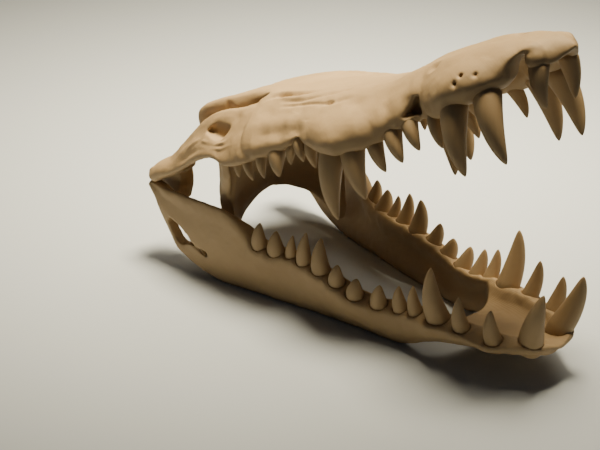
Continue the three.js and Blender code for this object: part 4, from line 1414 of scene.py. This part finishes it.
def make_camera(view: Viewpoint) -> None:
    """Sets up the scene's camera.

    Args:
        view: Where it stands and which ways it looks.
    """
    camera = bpy.data.cameras.new("camera")
    camera.lens = view.lens
    camera.sensor_width = 36.0
    camera.clip_start = 0.01
    thing = add_object("camera", camera)
    stand(thing, view.right, view.up, view.back, placed(np.array([view.place]), Frame.JAW)[0] * MM)
    bpy.context.scene.camera = thing


@dataclass(frozen=True)
class Sheet:
    """A sheet that lies under the object and sweeps up behind it, in metres.

    It starts at near, bends from far on with the radius bend and goes up to high. It reaches half to
    each side, and along is the way it runs, away from the camera.
    """

    near: float = -2.0
    far: float = 1.6
    bend: float = 0.4
    high: float = 2.4
    half: float = 3.0
    along: tuple[float, float] = (-0.7355, 0.6775)
    colour: tuple[float, float, float] = (0.47, 0.51, 0.57)
    roughness: float = 0.9


def make_floor(sheet: Sheet) -> None:
    """Lays the sheet.

    Formula: flat up to the bend, then a quarter turn of the bend's radius, then straight up.

    Args:
        sheet: Its measures and colour.
    """
    turn = np.linspace(0.0, np.pi / 2.0, 24)
    top = sheet.far + sheet.bend
    ahead = np.concatenate([[sheet.near], sheet.far + sheet.bend * np.sin(turn), [top]])
    up = np.concatenate([[0.0], sheet.bend * (1.0 - np.cos(turn)), [sheet.high]])
    across = np.array([-sheet.half, sheet.half])
    grid = np.empty((len(ahead), 2, 3))
    grid[..., 0] = ahead[:, None] * sheet.along[0] + across * sheet.along[1]
    grid[..., 1] = ahead[:, None] * sheet.along[1] - across * sheet.along[0]
    grid[..., 2] = up[:, None]
    faces = [(2 * i, 2 * i + 1, 2 * i + 3, 2 * i + 2) for i in range(len(ahead) - 1)]
    mesh = bpy.data.meshes.new("floor")
    mesh.from_pydata(grid.reshape(-1, 3).tolist(), [], faces)
    mesh.shade_smooth()
    mesh.materials.append(plain("pale_sheet", sheet.colour, sheet.roughness))
    add_object("floor", mesh)


@dataclass(frozen=True)
class Softbox:
    """A square soft light: its place, the point it faces, its size, spread in degrees and strength."""

    name: str
    place: Point
    aim: Point
    size: float
    spread: float
    watts: float
    colour: tuple[float, float, float]


SOFTBOXES = (
    Softbox("key", (-0.02, 0.095, 0.78), (-0.18, 0.15, 0.0), 0.26, 72.0, 5.0, (1.0, 0.86, 0.58)),
    Softbox("back", (-0.16, 0.45, 0.70), (-0.12, 0.10, 0.0), 0.45, 90.0, 0.8, (1.0, 0.88, 0.64)),
)
ROOM_COLOUR = (0.80, 0.88, 1.0, 1.0)
ROOM_STRENGTH = 0.035


def make_lights() -> None:
    """Hangs the soft lights and fills the room with pale light."""
    for box in SOFTBOXES:
        lamp = bpy.data.lights.new(box.name, "AREA")
        lamp.energy = box.watts
        lamp.size = box.size
        lamp.spread = np.radians(box.spread)
        lamp.color = box.colour
        back = np.array(box.place) - np.array(box.aim)
        back /= np.linalg.norm(back)
        right = np.cross([0.0, 0.0, 1.0], back)
        right /= np.linalg.norm(right)
        stand(add_object(box.name, lamp), right, np.cross(back, right), back, box.place)
    world = bpy.data.worlds.new("room")
    world.use_nodes = True
    background = world.node_tree.nodes["Background"]
    background.inputs["Color"].default_value = ROOM_COLOUR
    background.inputs["Strength"].default_value = ROOM_STRENGTH
    bpy.context.scene.world = world


# Distance between stations and size of the remeshed faces, in millimetres, and triangles of a bone.
STEP = 2.0
VOXEL = 0.6
TRIANGLES = 190_000

# Roots narrow in the thin bone of the upper skull and go straight down in the jaw.
UPPER_SHAPE = ToothShape(root=0.95, root_width=0.6)
LOWER_SHAPE = ToothShape(root_width=1.0)
UPPER_NODES = ("premaxilla", "maxilla_right", "maxilla_left", "cranium", "pterygoid", "cheek_right",
               "cheek_left")
LOWER_NODES = ("mandible_right", "mandible_left", "chin")


def main() -> None:
    """Builds the skull, its finish and its surroundings."""
    logging.basicConfig(level=logging.INFO, format="%(name)s %(message)s")
    voxel = VOXEL
    skull_plastic = plastic("bone_plastic_skull", Finish.BONE.value, GAPE)
    jaw_plastic = plastic("bone_plastic_jaw", Finish.BONE.value, 0.0)
    make_camera(Viewpoint())
    settle(UpperSkull(STEP, voxel, TRIANGLES).build(), Frame.SKULL, skull_plastic, UPPER_NODES)
    settle(LowerJaw(STEP, voxel, TRIANGLES).build(), Frame.JAW, jaw_plastic, LOWER_NODES)
    settle(teeth("upper_teeth", UPPER_TEETH, UPPER_SHAPE), Frame.SKULL, skull_plastic, ())
    settle(teeth("lower_teeth", MANDIBLE_TEETH, LOWER_SHAPE), Frame.JAW, jaw_plastic, ())
    make_floor(Sheet())
    make_lights()
    bpy.context.view_layer.update()


if __name__ == "__main__":
    main()
